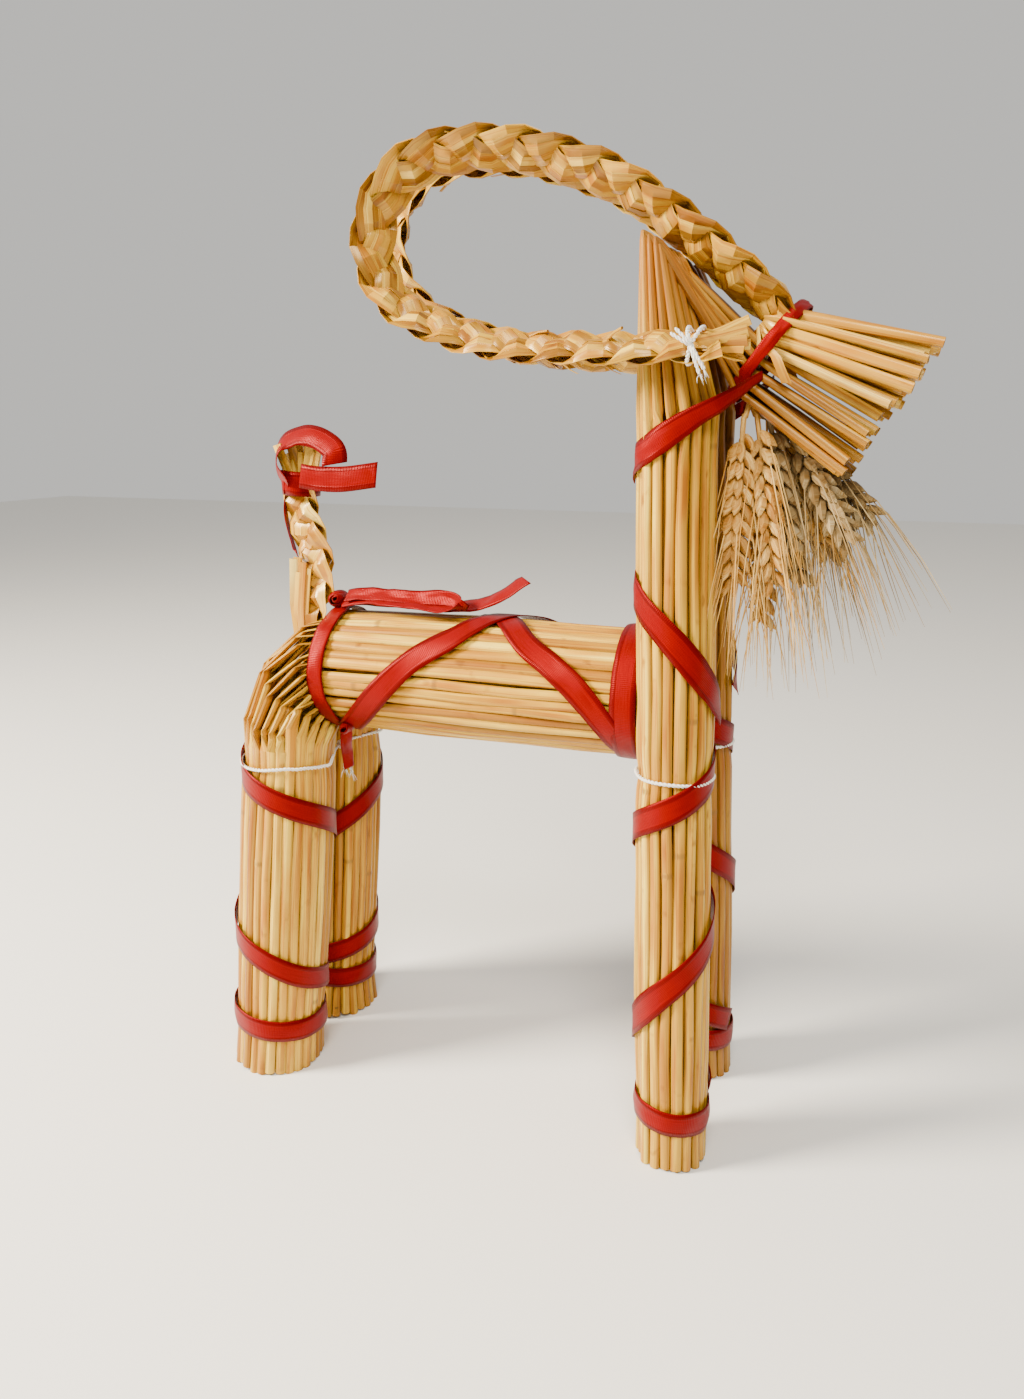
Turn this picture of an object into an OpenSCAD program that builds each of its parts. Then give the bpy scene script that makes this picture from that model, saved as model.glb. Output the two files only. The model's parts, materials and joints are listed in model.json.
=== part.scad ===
// A goat tied from rye straw: straight bundles, braids, string, ribbon and bearded ears.
// It stands on Z = 0 and faces +X. The right side is at -Y.

/* [Straw] */
// Diameter of one stalk in a bundle
straw_d = 4; // [3:0.5:4.2]
// Diameter of a stalk where the muzzle tie squeezes it
muzzle_straw_d = 2.2; // [1.6:0.1:2.2]
// Outer stalks round each front bundle
front_count = 18; // [12:2:18]
// Outer stalks round the body
body_count = 36; // [24:2:36]
// Outer stalks round each hind leg
hind_count = 28; // [16:2:28]

/* [Front bundles] */
// Radius of the ring of outer stalks in a front bundle
front_ring = 13; // [12.5:0.5:14]
// Foot of a front bundle, forward of the origin
front_foot_x = 68; // [64:1:72]
// Half the distance between the front feet
front_foot_y = 33; // [31:1:36]
// Top of a front bundle, forward of the origin
head_x = 53.5; // [50:0.5:58]
// Half the distance between the two bundles at the head
head_y = 14.5; // [14.5:0.5:16]
// Height of the top of the front bundles
head_z = 355; // [340:1:360]

/* [Body] */
// Radius of the ring of outer stalks in the body
body_ring = 24; // [23.5:0.5:26]
// Height of the body's axis
body_z = 187; // [180:1:195]
// Front end of the body's outer stalks
body_front = 44; // [36:1:45]
// Rear end of the body, where its stalks crease down over the rump
body_rear = -89; // [-95:1:-80]

/* [Hind legs] */
// Radius of the ring of outer stalks in a hind leg
hind_ring = 18.6; // [18:0.2:20]
// Foot of a hind leg, along X
hind_foot_x = -124; // [-128:1:-118]
// Half the distance between the hind feet
hind_foot_y = 26.5; // [25:0.5:30]

/* [Braids] */
// Length along a horn braid in which its strands repeat
horn_pitch = 44; // [38:1:52]
// Half the sideways swing of a horn strand
horn_swing = 5.6; // [5:0.2:6.2]
// Radius of one horn strand
horn_strand_r = 2; // [1.6:0.1:2]
// Length along the tail in which its strands repeat
tail_pitch = 33; // [28:1:40]
// Half the sideways swing of a tail strand
tail_swing = 4.8; // [4.4:0.2:5.2]
// Radius of one tail strand
tail_strand_r = 1.6; // [1.4:0.1:1.6]

/* [Ribbon and string] */
// Width of the satin ribbon
ribbon_w = 7; // [4:0.5:8]
// Thickness of the ribbon
ribbon_t = 0.5; // [0.4:0.1:0.8]
// Diameter of the cotton string
string_d = 1.6; // [1:0.2:2]

/* [Ears] */
// Greatest diameter of an ear of wheat
ear_d = 9; // [7:0.5:10]

/* [Hidden] */
$fn = 24;
straw_r = straw_d / 2;
// A slanted stalk's square cut end starts this high, so that its lowest edge stands on the ground.
sole = 0.18;
gap = 0.15;
thread_r = string_d / 2;
front_outer = front_ring + straw_r;
body_outer = body_ring + straw_r;
hind_outer = hind_ring + straw_r;
crotch_z = body_z - body_outer;
// The hind leg is narrower than the body, so the crease over the rump is squeezed along X.
rump_squeeze = 0.84;
rump_straw_d = straw_d * 0.85;
// Stalks nearer to the crotch than this are pinched flat by the crease and are left out.
tight_bend = 9;
hind_top_x = body_rear - rump_squeeze * body_outer;
hind_top_y = hind_outer + 1.5;
hind_string_z = 149;
// The stalks of the head crease on a plane that slopes from the throat to the back of the head.
throat = [72, 301];
nape = [40, 360];
// The muzzle tie: its middle, the way it faces and its half height.
tie = [84.5, 0, 317.5];
tie_up = [0.61, 0, 0.79];
tie_half = 18.5;
// How far the stalks and the horns' loose ends stick out beyond the muzzle tie.
muzzle_reach = 54;
horn_reach = 49.58;
tie_half_y = 16.4;
// Half height and half width of the oval that each bundle is squeezed to inside the tie.
muzzle_oval = [8.6, 6.8];

// Route of the right horn's middle line as [x, distance from the middle plane, z].
HORN = [
    [86, 8, 336], [80, 9, 342], [72, 9, 350], [60, 10, 360], [45, 10, 370], [28, 10, 378],
    [8, 10, 385], [-12, 10, 390], [-34, 10, 391], [-50, 10, 388], [-62, 10, 379], [-68, 11, 365],
    [-66, 12, 350], [-56, 14, 337], [-40, 17, 329], [-20, 21, 323], [0, 26, 320], [20, 31, 319],
    [40, 35, 318], [60, 38, 318], [74, 39, 318]
];
TAIL = [[-110, 0, 207], [-105, 0, 217], [-102, 0, 229], [-105, 0, 241], [-111, 0, 254], [-113, 0, 269]];
// Each ear of wheat as [base, tip].
EARS = [
    [[79, -16, 290], [79, -18, 232]], [[84, -12, 291], [94, -15, 231]],
    [[88, -6, 290], [102, -5, 234]], [[96, -5, 286], [120, -8, 248]],
    [[98, 3, 284], [127, 4, 257]], [[92, 0, 286], [111, 0, 245]],
    [[85, 5, 290], [88, 3, 214]], [[92, 9, 286], [112, 12, 240]]
];
// Ribbon routes round a leg as [turn in degrees from the front, height].
FRONT_WRAP = [[-90, 172], [0, 159], [90, 151], [180, 139], [360, 92], [450, 78], [540, 59], [700, 30]];
HIND_WRAP = [[180, 142], [90, 134], [0, 123], [-180, 68], [-270, 58], [-360, 44], [-500, 32]];
// The body's crossing ribbons as [x, turn in degrees from the top].
BODY_CROSS = [
    [-86, 150], [-66, 101], [-49, 66], [-33, 40], [-18, 0], [-3, -40], [10, -60], [22, -80],
    [33, -108], [42, -146]
];
NECK_HIGH = [
    [85, -17, 309], [80, -22, 305], [72, -30.5, 299], [60, -33.5, 292], [48, -31, 284],
    [40, -22, 279], [38, -16, 275]
];
NECK_LOW = [[40, -18, 236], [44, -30, 231], [57, -36.5, 220], [68, -35.5, 208], [75, -28, 196], [77, -20, 186]];
BOW_LOOP = [
    [-92, -4, 217], [-80, -5, 219], [-60, -6, 218.5], [-42, -7, 217.5], [-34, -7, 219],
    [-42, -4, 221], [-60, -4, 220.5], [-80, -4, 220.8], [-90, -4, 219.5]
];
BOW_TAIL = [[-92, 3, 217], [-70, 4, 217], [-44, 2, 217], [-24, -3, 221], [-7, -4, 231]];
TAIL_LOOP = [
    [-112, -8, 276], [-120, -7, 282], [-114, -5, 290], [-101, -3, 292], [-90, -4, 286], [-96, -7, 278]
];
TAIL_END = [[-107, -9.5, 271], [-98, -10, 270], [-86, -10, 270], [-71, -9, 272]];

// ---- points and routes ----

// Axes of the bundles: side is -1 on the right and 1 on the left.
function on_line(a, b, z) = a + (b - a) * (z - a[2]) / (b[2] - a[2]);
function front_axis(side, z) =
    on_line([front_foot_x, side * front_foot_y, 0], [head_x, side * head_y, head_z], z);
function hind_axis(side, z) =
    on_line([hind_foot_x, side * hind_foot_y, 0], [hind_top_x, side * hind_top_y, crotch_z], z);
// Height at which a stalk that stands `ahead` of its bundle's axis meets the crease plane.
crease_slope = (nape[1] - throat[1]) / (throat[0] - nape[0]);
lean = (front_foot_x - head_x) / head_z;
function crease_z(ahead) =
    (throat[1] + crease_slope * (throat[0] - front_foot_x - ahead)) / (1 - crease_slope * lean);

// A Catmull-Rom curve through points, with steps pieces between two of them.
function bend(a, b, c, d, t) =
    0.5 * (2 * b + (c - a) * t + (2 * a - 5 * b + 4 * c - d) * t * t + (3 * b - a - 3 * c + d) * t * t * t);
function curve(p, steps) = concat(
    [for (i = [0:len(p) - 2], j = [0:steps - 1])
        bend(p[max(i - 1, 0)], p[i], p[i + 1], p[min(i + 2, len(p) - 1)], j / steps)],
    [p[len(p) - 1]]);
function lengths(p) =
    [for (i = 0, s = 0; i < len(p); i = i + 1, s = i < len(p) ? s + norm(p[i] - p[i - 1]) : s) s];
function piece(s, l, i = 0) = i >= len(l) - 2 || l[i + 1] >= s ? i : piece(s, l, i + 1);
function along(p, l, s) =
    let (i = piece(s, l)) p[i] + (p[i + 1] - p[i]) * (s - l[i]) / (l[i + 1] - l[i]);
function unit(v) = v / norm(v);
function square_to(v, t) = unit(v - (v * t) * t);
function heading(p, i, closed) =
    let (n = len(p), a = closed ? p[(i + n - 1) % n] : p[max(i - 1, 0)],
         b = closed ? p[(i + 1) % n] : p[min(i + 1, n - 1)]) unit(b - a);

// Sweeps a profile along points; each facing vector says which way the profile's Y looks.
module sweep(p, facing, profile, closed = false) {
    n = len(p);
    k = len(profile);
    rings = [for (i = [0:n - 1])
        let (t = heading(p, i, closed), up = square_to(facing[i], t), across = cross(t, up))
        for (q = profile) p[i] + q[0] * across + q[1] * up];
    spans = closed ? n - 1 : n - 2;
    // The first side of a thin ribbon is cut along the same diagonal as its opposite side.
    walls = [for (i = [0:spans], j = [0:k - 1])
        let (a = i * k, b = ((i + 1) % n) * k, m = (j + 1) % k) each
            j == 0 ? [[a + j, b + j, a + m], [b + j, b + m, a + m]]
                : [[a + j, b + j, b + m], [a + j, b + m, a + m]]];
    caps = closed ? [] : [[for (j = [0:k - 1]) j], [for (j = [k - 1:-1:0]) (n - 1) * k + j]];
    polyhedron(points = rings, faces = concat(walls, caps));
}
function round_profile(r, sides) = [for (j = [0:sides - 1]) r * [cos(360 * j / sides), sin(360 * j / sides)]];
ribbon_profile = [[-ribbon_w / 2, 0], [ribbon_w / 2, 0], [ribbon_w / 2, ribbon_t], [-ribbon_w / 2, ribbon_t]];

// ---- building blocks ----

module rod(a, b, r) {
    v = b - a;
    translate(a) rotate([0, acos(v[2] / norm(v)), atan2(v[1], v[0])]) cylinder(r = r, h = norm(v));
}
// One stalk that runs through points and is creased at each inner point.
module stalk(p, r) {
    sweep(p, [for (q = p) [0, 1, 0]], round_profile(r, 6));
}
// A packed core between two outlines that have the same number of points.
module packed(lower, upper) {
    n = len(lower);
    walls = [for (i = [0:n - 1]) let (m = (i + 1) % n) each [[i, n + i, n + m], [i, n + m, m]]];
    polyhedron(points = concat(lower, upper),
        faces = concat(walls, [[for (i = [0:n - 1]) i], [for (i = [n - 1:-1:0]) n + i]]));
}
function core_outline(r) = [for (i = [0:39]) r * [cos(9 * i), sin(9 * i), 0]];
module ring_band(r) {
    difference() {
        cylinder(r = r + ribbon_t, h = ribbon_w, $fn = 48);
        translate([0, 0, -1]) cylinder(r = r, h = ribbon_w + 2, $fn = 48);
    }
}
// One strand of a three-strand braid along a route; k is the strand's number.
module strand(route, pitch, swing, r, k) {
    p = curve(route, 4);
    l = lengths(p);
    total = l[len(l) - 1];
    n = ceil(total / pitch * 12);
    mid = [for (i = [0:n]) along(p, l, total * i / n)];
    centre = [for (i = [0:n])
        let (turn = 360 * (total * i / n / pitch + k / 3), t = heading(mid, i, false),
             side = square_to([0, 1, 0], t), wide = cross(t, side))
        mid[i] + swing * sin(turn) * wide + (r + 0.9) * sin(2 * turn) * side];
    sweep(centre, [for (i = [0:n]) [0, 1, 0]], round_profile(r, 6));
}
function mirrored(p, side) = [for (q = p) [q[0], side * q[1], q[2]]];

// ---- front bundles: legs, shoulders, neck and head ----

function front_place(i) = let (a = 360 * (i + 0.5) / front_count) front_ring * [cos(a), sin(a)];
module front_stalks(side) {
    color("#c3923f") for (i = [0:front_count - 1]) {
        q = front_place(i);
        place = [q[0], q[1], 0];
        rod(front_axis(side, sole) + place, front_axis(side, crease_z(q[0])) + place, straw_r);
    }
}
module front_core(side) {
    color("#8d6a34") let (outline = core_outline(front_ring - straw_r - gap))
        packed([for (q = outline) front_axis(side, 0) + q],
            [for (q = outline) front_axis(side, crease_z(q[0])) + q]);
}
// The stalks creased over the head: the ring of stalks is squeezed to an oval inside the tie.
module muzzle_stalks(side) {
    color("#b9772f") for (i = [0:front_count - 1]) {
        q = front_place(i) / front_ring;
        start = front_axis(side, crease_z(front_ring * q[0])) + front_ring * [q[0], q[1], 0];
        up = -muzzle_oval[0] * (1 + q[0]) - 1.6;
        squeezed = tie + tie_up * up + [0, side * (muzzle_oval[1] + 1.3) + q[1] * muzzle_oval[1], 0];
        fall = 8 - up;
        reach = muzzle_reach + 3 * sin(97 * i);
        end = squeezed + reach * [cos(fall), 0, -sin(fall)] + [0, squeezed[1] * 0.4, 0];
        stalk([start + 1.6 * unit(squeezed - start), squeezed, end], muzzle_straw_d / 2);
    }
}

// ---- body, rump and hind legs ----

module body_stalks() {
    color("#c79a4a") for (i = [0:body_count - 1])
        let (a = 360 * (i + 0.5) / body_count, y = body_ring * sin(a), z = body_z + body_ring * cos(a))
        rod([body_rear, y, z], [body_front, y, z], straw_r);
}
module body_core() {
    color("#93713a") rod([body_rear, 0, body_z], [body_front, 0, body_z], body_ring - straw_r - gap);
}
tongue_rows = 9;
tongue_pitch = 4.2;
module body_tongue_stalks() {
    color("#a98443") for (row = [0:tongue_rows - 1], column = [-1:1])
        let (y = column * tongue_pitch, z = body_z + (row - (tongue_rows - 1) / 2) * tongue_pitch)
        rod([body_front, y, z], [front_foot_x + 8, y, z], straw_r);
}
function hind_place(i) = let (a = 360 * (i + 0.5) / hind_count) hind_ring * [cos(a), sin(a)];
// The body's end splits in two halves. Each half's D-shaped outline is spread evenly with stalks:
// a turns from the leg's front over its outer side, and 216 degrees of the leg cover the round side.
function half_outline(a) =
    let (flat = a > 198 && a < 342, t = flat ? (a - 198) / 144 : ((a + 18) % 360) / 216,
         roof = body_ring - straw_r)
    flat ? [straw_r + 0.4, roof * (1 - 2 * t)] : [-body_ring * sin(t * 180 - 180), -body_ring * cos(t * 180)];
// A rump stalk turns round the crotch in three creases while it spreads out to the leg's ring.
module rump_stalks(side) {
    color("#c3923f") for (i = [0:hind_count - 1]) {
        q = hind_place(i);
        half = half_outline(360 * (i + 0.5) / hind_count);
        leg = hind_axis(side, crotch_z) + [q[0], side * q[1], 0];
        leg_u = (body_rear - leg[0]) / rump_squeeze;
        body_u = body_z + half[1] - crotch_z;
        if (min(leg_u, body_u) > tight_bend)
            stalk([for (t = [0, 30, 60, 90])
                let (u = body_u + (leg_u - body_u) * t / 90)
                [body_rear - rump_squeeze * u * sin(t),
                 side * half[0] + (leg[1] - side * half[0]) * t / 90,
                 crotch_z + u * cos(t)]], rump_straw_d / 2);
    }
}
module hind_stalks(side) {
    color("#c79a4a") for (i = [0:hind_count - 1]) {
        q = hind_place(i);
        place = [q[0], side * q[1], 0];
        rod(hind_axis(side, sole) + place, hind_axis(side, crotch_z - 0.3) + place, straw_r);
    }
}
module hind_core(side) {
    color("#93713a") let (outline = core_outline(hind_ring - straw_r - gap))
        packed([for (q = outline) hind_axis(side, 0) + q], [for (q = outline) hind_axis(side, crotch_z) + q]);
}

// ---- horns and tail ----

module horn_braid(side) {
    color("#d9b35c") for (k = [0:2])
        strand(mirrored(HORN, side), horn_pitch, horn_swing, horn_strand_r, k);
}
module horn_ends(side) {
    color("#d8bd7a") for (row = [0:3], column = [0:2]) {
        start = tie + tie_up * (2 + row * 4) + [0, side * (3.2 + 4.2 * column), 0];
        fall = 8 + row;
        reach = horn_reach + 3 * sin(140 * row + 70 * column);
        rod(start, start + reach * [cos(fall), side * 0.1 * column, -sin(fall)], muzzle_straw_d / 2);
    }
}
module tail_braid() {
    color("#d3ab58") for (k = [0:2]) strand(TAIL, tail_pitch, tail_swing, tail_strand_r, k);
}
module tail_tuft() {
    color("#d8bd7a") for (i = [-3:3]) {
        foot = TAIL[len(TAIL) - 1] + [2.4 * i, 0, 3];
        splay = 9 * i + 8;
        rod(foot, foot + (13 + 2 * cos(110 * i)) * [sin(splay), 0.12 * (i % 2), cos(splay)], 0.9);
    }
}

// ---- cotton strings ----

module front_string(side) {
    color("#e8e2d4") translate(front_axis(side, 162))
        rotate_extrude($fn = 48) translate([front_outer + thread_r, 0]) circle(r = thread_r);
}
// A racetrack round both hind legs.
module hind_string() {
    r = hind_outer + thread_r + gap;
    c = hind_axis(1, hind_string_z);
    path = [for (side = [1, -1], t = [-90:18:90])
        [c[0] + side * r * sin(-t), side * (c[1] + r * cos(t)), hind_string_z]];
    color("#e8e2d4") sweep(path, [for (q = path) [0, 0, 1]], round_profile(thread_r, 6), true);
}
function tie_ring(extra, ahead, n) = [for (i = [0:n - 1])
    let (a = 360 * i / n)
    tie + tie_up * (tie_half + extra) * cos(a) + [0, (tie_half_y + extra) * sin(a), 0]
        + ahead * [tie_up[2], 0, -tie_up[0]]];
module muzzle_string() {
    color("#e8e2d4") sweep(tie_ring(1, -5.5, 28), tie_ring(0, -5.5, 28) - tie_ring(1, -5.5, 28),
        round_profile(thread_r, 6), true);
}
// Ties the lower end of a horn braid against the side of the neck.
module horn_string(side) {
    p = HORN[len(HORN) - 1] - [9, 0, 0];
    color("#e8e2d4") translate([p[0], side * p[1], p[2]]) rotate([0, 90, 0])
        rotate_extrude($fn = 32) translate([9.4, 0]) circle(r = thread_r);
}

// ---- ribbons ----

module muzzle_ribbon() {
    color("#c4182a") sweep(tie_ring(0.8, 0, 32),
        [for (i = [0:31]) tie_up * cos(360 * i / 32) + [0, sin(360 * i / 32), 0]], ribbon_profile, true);
}
module outward_ribbon(route, centre) {
    p = curve(route, 3);
    color("#c4182a") sweep(p, [for (q = p) [q[0] - centre[0], q[1] - centre[1], 0]], ribbon_profile);
}
module neck_ribbon_high(side) {
    outward_ribbon(mirrored(NECK_HIGH, -side), front_axis(side, 292));
}
module neck_ribbon_low(side) {
    outward_ribbon(mirrored(NECK_LOW, -side), front_axis(side, 214));
}
// Winds a ribbon round a leg; foot and top are two points on the leg's axis.
module leg_ribbon(list, side, foot, top, r) {
    turns = curve(list, 6);
    axis = [for (t = turns) on_line(foot, top, t[1])];
    out = [for (t = turns) [cos(t[0]), side * sin(t[0]), 0]];
    color("#c4182a") sweep([for (i = [0:len(turns) - 1]) axis[i] + (r + 0.1) * out[i]], out, ribbon_profile);
}
module front_leg_ribbon(side) {
    leg_ribbon(FRONT_WRAP, side, front_axis(side, 0), front_axis(side, head_z), front_outer);
}
module hind_leg_ribbon(side) {
    leg_ribbon(HIND_WRAP, side, hind_axis(side, 0), hind_axis(side, crotch_z), hind_outer);
}
module front_foot_band(side) {
    color("#c4182a") translate(front_axis(side, 17)) rotate([4, 6, 0]) ring_band(front_outer + 0.5);
}
module hind_foot_band(side) {
    color("#c4182a") translate(hind_axis(side, 19)) rotate([0, 8, 0]) ring_band(hind_outer + 0.7);
}
module body_ring_ribbon(x, r) {
    color("#c4182a") translate([x, 0, body_z]) rotate([0, 90, 0]) ring_band(r);
}
module body_cross_ribbon(side) {
    turns = curve(BODY_CROSS, 4);
    out = [for (t = turns) [0, side * sin(t[1]), cos(t[1])]];
    // The right ribbon passes over the left one where they cross.
    lift = side < 0 ? 0.8 : 0.1;
    route = [for (i = [0:len(turns) - 1]) [turns[i][0], 0, body_z] + (body_outer + lift) * out[i]];
    color("#c4182a") sweep(route, out, ribbon_profile);
}
module flat_ribbon(route, facing) {
    p = curve(route, 4);
    color("#c4182a") sweep(p, [for (q = p) facing], ribbon_profile);
}
module bow_knot() {
    color("#c4182a") translate([-96, 0, body_z + body_outer + 4.5]) rotate([90, 0, 0])
        cylinder(d = ribbon_w + 0.5, h = 9, center = true);
}
module tail_ribbon_band() {
    color("#c4182a") translate([-112.5, 0, 264]) rotate([0, 4, 0]) difference() {
        cylinder(r = 8.6, h = ribbon_w);
        translate([0, 0, -1]) cylinder(r = 7.6, h = ribbon_w + 2);
    }
}

// ---- ears of wheat ----

module wheat_ear(i) {
    base = EARS[i][0];
    tip = EARS[i][1];
    v = tip - base;
    root = [80, base[1] * 0.6, 300];
    color("#c9a45c") {
        translate(base) rotate([0, acos(v[2] / norm(v)), atan2(v[1], v[0])]) rotate_extrude()
            polygon([
                [0, 0], [1.6, 0], [ear_d / 2 - 0.6, 12], [ear_d / 2, 24], [ear_d / 2 - 1, norm(v) - 16],
                [1, norm(v)], [0, norm(v)]
            ]);
        rod(root, base + 3 * unit(v), 1.1);
    }
}

front_stalks(-1);  // right_front_stalks
front_stalks(1);  // left_front_stalks
front_core(-1);  // right_front_core
front_core(1);  // left_front_core
muzzle_stalks(-1);  // right_muzzle_stalks
muzzle_stalks(1);  // left_muzzle_stalks
body_stalks();
body_core();
body_tongue_stalks();
rump_stalks(-1);  // right_rump_stalks
rump_stalks(1);  // left_rump_stalks
hind_stalks(-1);  // right_hind_stalks
hind_stalks(1);  // left_hind_stalks
hind_core(-1);  // right_hind_core
hind_core(1);  // left_hind_core
horn_braid(-1);  // right_horn_braid
horn_braid(1);  // left_horn_braid
horn_ends(-1);  // right_horn_ends
horn_ends(1);  // left_horn_ends
tail_braid();
tail_tuft();
front_string(-1);  // right_front_string
front_string(1);  // left_front_string
hind_string();
muzzle_string();
horn_string(-1);  // right_horn_string
horn_string(1);  // left_horn_string
muzzle_ribbon();
neck_ribbon_high(-1);  // right_neck_ribbon_high
neck_ribbon_high(1);  // left_neck_ribbon_high
neck_ribbon_low(-1);  // right_neck_ribbon_low
neck_ribbon_low(1);  // left_neck_ribbon_low
front_leg_ribbon(-1);  // right_front_leg_ribbon
front_leg_ribbon(1);  // left_front_leg_ribbon
front_foot_band(-1);  // right_front_foot_band
front_foot_band(1);  // left_front_foot_band
hind_leg_ribbon(-1);  // right_hind_leg_ribbon
hind_leg_ribbon(1);  // left_hind_leg_ribbon
hind_foot_band(-1);  // right_hind_foot_band
hind_foot_band(1);  // left_hind_foot_band
body_ring_ribbon(37, body_outer + 1.6);  // body_front_ribbon
body_ring_ribbon(-98, body_outer + 0.6);  // body_rear_ribbon
body_cross_ribbon(-1);  // body_cross_ribbon_right
body_cross_ribbon(1);  // body_cross_ribbon_left
bow_knot();
flat_ribbon(BOW_LOOP, [0, 0.05, 1]);  // bow_loop
flat_ribbon(BOW_TAIL, [0, 0.2, 1]);  // bow_tail
tail_ribbon_band();
flat_ribbon(TAIL_LOOP, [0, -1, 0]);  // tail_ribbon_loop
flat_ribbon(TAIL_END, [0, -1, 0.2]);  // tail_ribbon_end
wheat_ear(0);  // wheat_ear_1
wheat_ear(1);  // wheat_ear_2
wheat_ear(2);  // wheat_ear_3
wheat_ear(3);  // wheat_ear_4
wheat_ear(4);  // wheat_ear_5
wheat_ear(5);  // wheat_ear_6
wheat_ear(6);  // wheat_ear_7
wheat_ear(7);  // wheat_ear_8
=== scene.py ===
# %% [markdown]
# # A yule goat tied from straw
# Nothing in this goat is carved or cast. It is rye straw in bundles, flattened straw in braids,
# red satin ribbon, cotton string and a few bearded ears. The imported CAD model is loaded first,
# because it says where every bundle stands and how big it is, and nothing here moves it.

import json
import math
import random

import bmesh
import bpy
from mathutils import Matrix, Vector, noise

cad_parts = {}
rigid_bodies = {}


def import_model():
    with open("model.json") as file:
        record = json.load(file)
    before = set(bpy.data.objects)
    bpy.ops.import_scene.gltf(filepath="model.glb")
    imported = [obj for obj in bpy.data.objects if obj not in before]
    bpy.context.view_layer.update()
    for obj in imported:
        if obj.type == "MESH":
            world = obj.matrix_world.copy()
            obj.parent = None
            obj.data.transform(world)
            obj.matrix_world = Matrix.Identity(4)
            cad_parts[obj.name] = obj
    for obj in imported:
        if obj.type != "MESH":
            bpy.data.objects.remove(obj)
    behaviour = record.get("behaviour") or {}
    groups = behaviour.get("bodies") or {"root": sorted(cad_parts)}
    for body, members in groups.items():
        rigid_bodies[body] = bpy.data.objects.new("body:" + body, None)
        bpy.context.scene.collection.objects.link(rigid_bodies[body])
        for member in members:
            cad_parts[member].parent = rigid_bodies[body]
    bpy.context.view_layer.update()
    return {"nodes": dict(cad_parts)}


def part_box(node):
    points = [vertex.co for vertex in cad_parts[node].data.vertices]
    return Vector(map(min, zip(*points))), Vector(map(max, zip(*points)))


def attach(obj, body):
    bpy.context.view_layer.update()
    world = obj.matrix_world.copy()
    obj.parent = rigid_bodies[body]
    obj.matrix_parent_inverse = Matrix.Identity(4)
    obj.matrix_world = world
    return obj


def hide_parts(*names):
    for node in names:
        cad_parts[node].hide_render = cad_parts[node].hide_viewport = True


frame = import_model()
MM = 0.001
Y = Vector((0, 1, 0))
SIDES = {"right": -1, "left": 1}

# %% [markdown]
# ## The camera
# The goat is seen from its right side, a little from the front and from above its back. The lens is
# a short one close by, which is why the near front leg reaches so far down the picture. The camera
# is placed first, because every later choice of detail depends on what it sees.

# %% Camera
LENS = 27.04
CAMERA_PLACE = Vector((134, -407.8, 294))
DOWNWARD = 14.9
TURNED = 20
camera = bpy.data.objects.new("camera", bpy.data.cameras.new("camera"))
bpy.context.scene.collection.objects.link(camera)
camera.location = CAMERA_PLACE * MM
camera.rotation_euler = (math.radians(90 - DOWNWARD), 0, math.radians(TURNED))
camera.data.lens = LENS
camera.data.sensor_width = 36
camera.data.clip_start = 0.01
bpy.context.scene.camera = camera
print(f"camera: {LENS} mm lens, {CAMERA_PLACE.length:.0f} mm from the origin")

# %% [markdown]
# ## Colours and nodes
# Colours are written as the sRGB hex values that an eye would pick, and one function turns them
# into the linear values that the renderer works in. Another function adds any node to a material
# with its settings and its links, so that each material below reads like a recipe.

# %% Two material helpers
def linear(code):
    parts = [int(code[i:i + 2], 16) / 255 for i in (1, 3, 5)]
    return [c / 12.92 if c <= 0.04045 else ((c + 0.055) / 1.055) ** 2.4 for c in parts] + [1]


print("middle grey #808080 is linear", round(linear("#808080")[0], 3))


def add(tree, kind, inputs=(), **settings):
    node = tree.nodes.new(kind)
    for key, value in settings.items():
        setattr(node, key, value)
    for socket, value in dict(inputs).items():
        if isinstance(value, bpy.types.NodeSocket):
            tree.links.new(value, node.inputs[socket])
        else:
            node.inputs[socket].default_value = value
    return node


def new_material(name):
    material = bpy.data.materials.new(name)
    material.use_nodes = True
    tree = material.node_tree
    tree.nodes.clear()
    shader = add(tree, "ShaderNodeBsdfPrincipled")
    add(tree, "ShaderNodeOutputMaterial", {"Surface": shader.outputs["BSDF"]})
    return material, tree, shader


def ramp(tree, factor, stops):
    node = add(tree, "ShaderNodeValToRGB", {"Fac": factor})
    while len(node.color_ramp.elements) < len(stops):
        node.color_ramp.elements.new(0.5)
    for element, (place, code) in zip(node.color_ramp.elements, stops):
        element.position = place
        element.color = linear(code)
    return node.outputs["Color"]


def mixed(tree, factor, a, b, blend="MIX"):
    node = add(tree, "ShaderNodeMix", {0: factor, 6: a, 7: b}, data_type="RGBA", blend_type=blend)
    return node.outputs[2]


# %% [markdown]
# ## Rye straw
# A rye stalk is a thin, hollow, waxy tube. Its skin has fine ribs that run its whole length, about
# a quarter of a millimetre apart, and long streaks where it ripened unevenly. Every stalk is its
# own tone, so each carries a number that picks one. A second number darkens its joints and paints
# shade into its creases and folds, a third paints shade into its hollow and cut ends, the gaps
# between stalks and its hidden parts, and a fourth tans it, on the muzzle partly as painted shade.
# The ribs and streaks follow a UV map laid out in millimetres: U round the stalk and V along it.
# The ribs are drawn twice as coarse as life, or they would vanish at this distance.

# %% Straw material
RIB = 0.5
STREAK_WIDE, STREAK_LONG = 1.8, 38
BLOTCH_WIDE, BLOTCH_LONG = 3.5, 9
STRAW_IOR = 1.5


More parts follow.
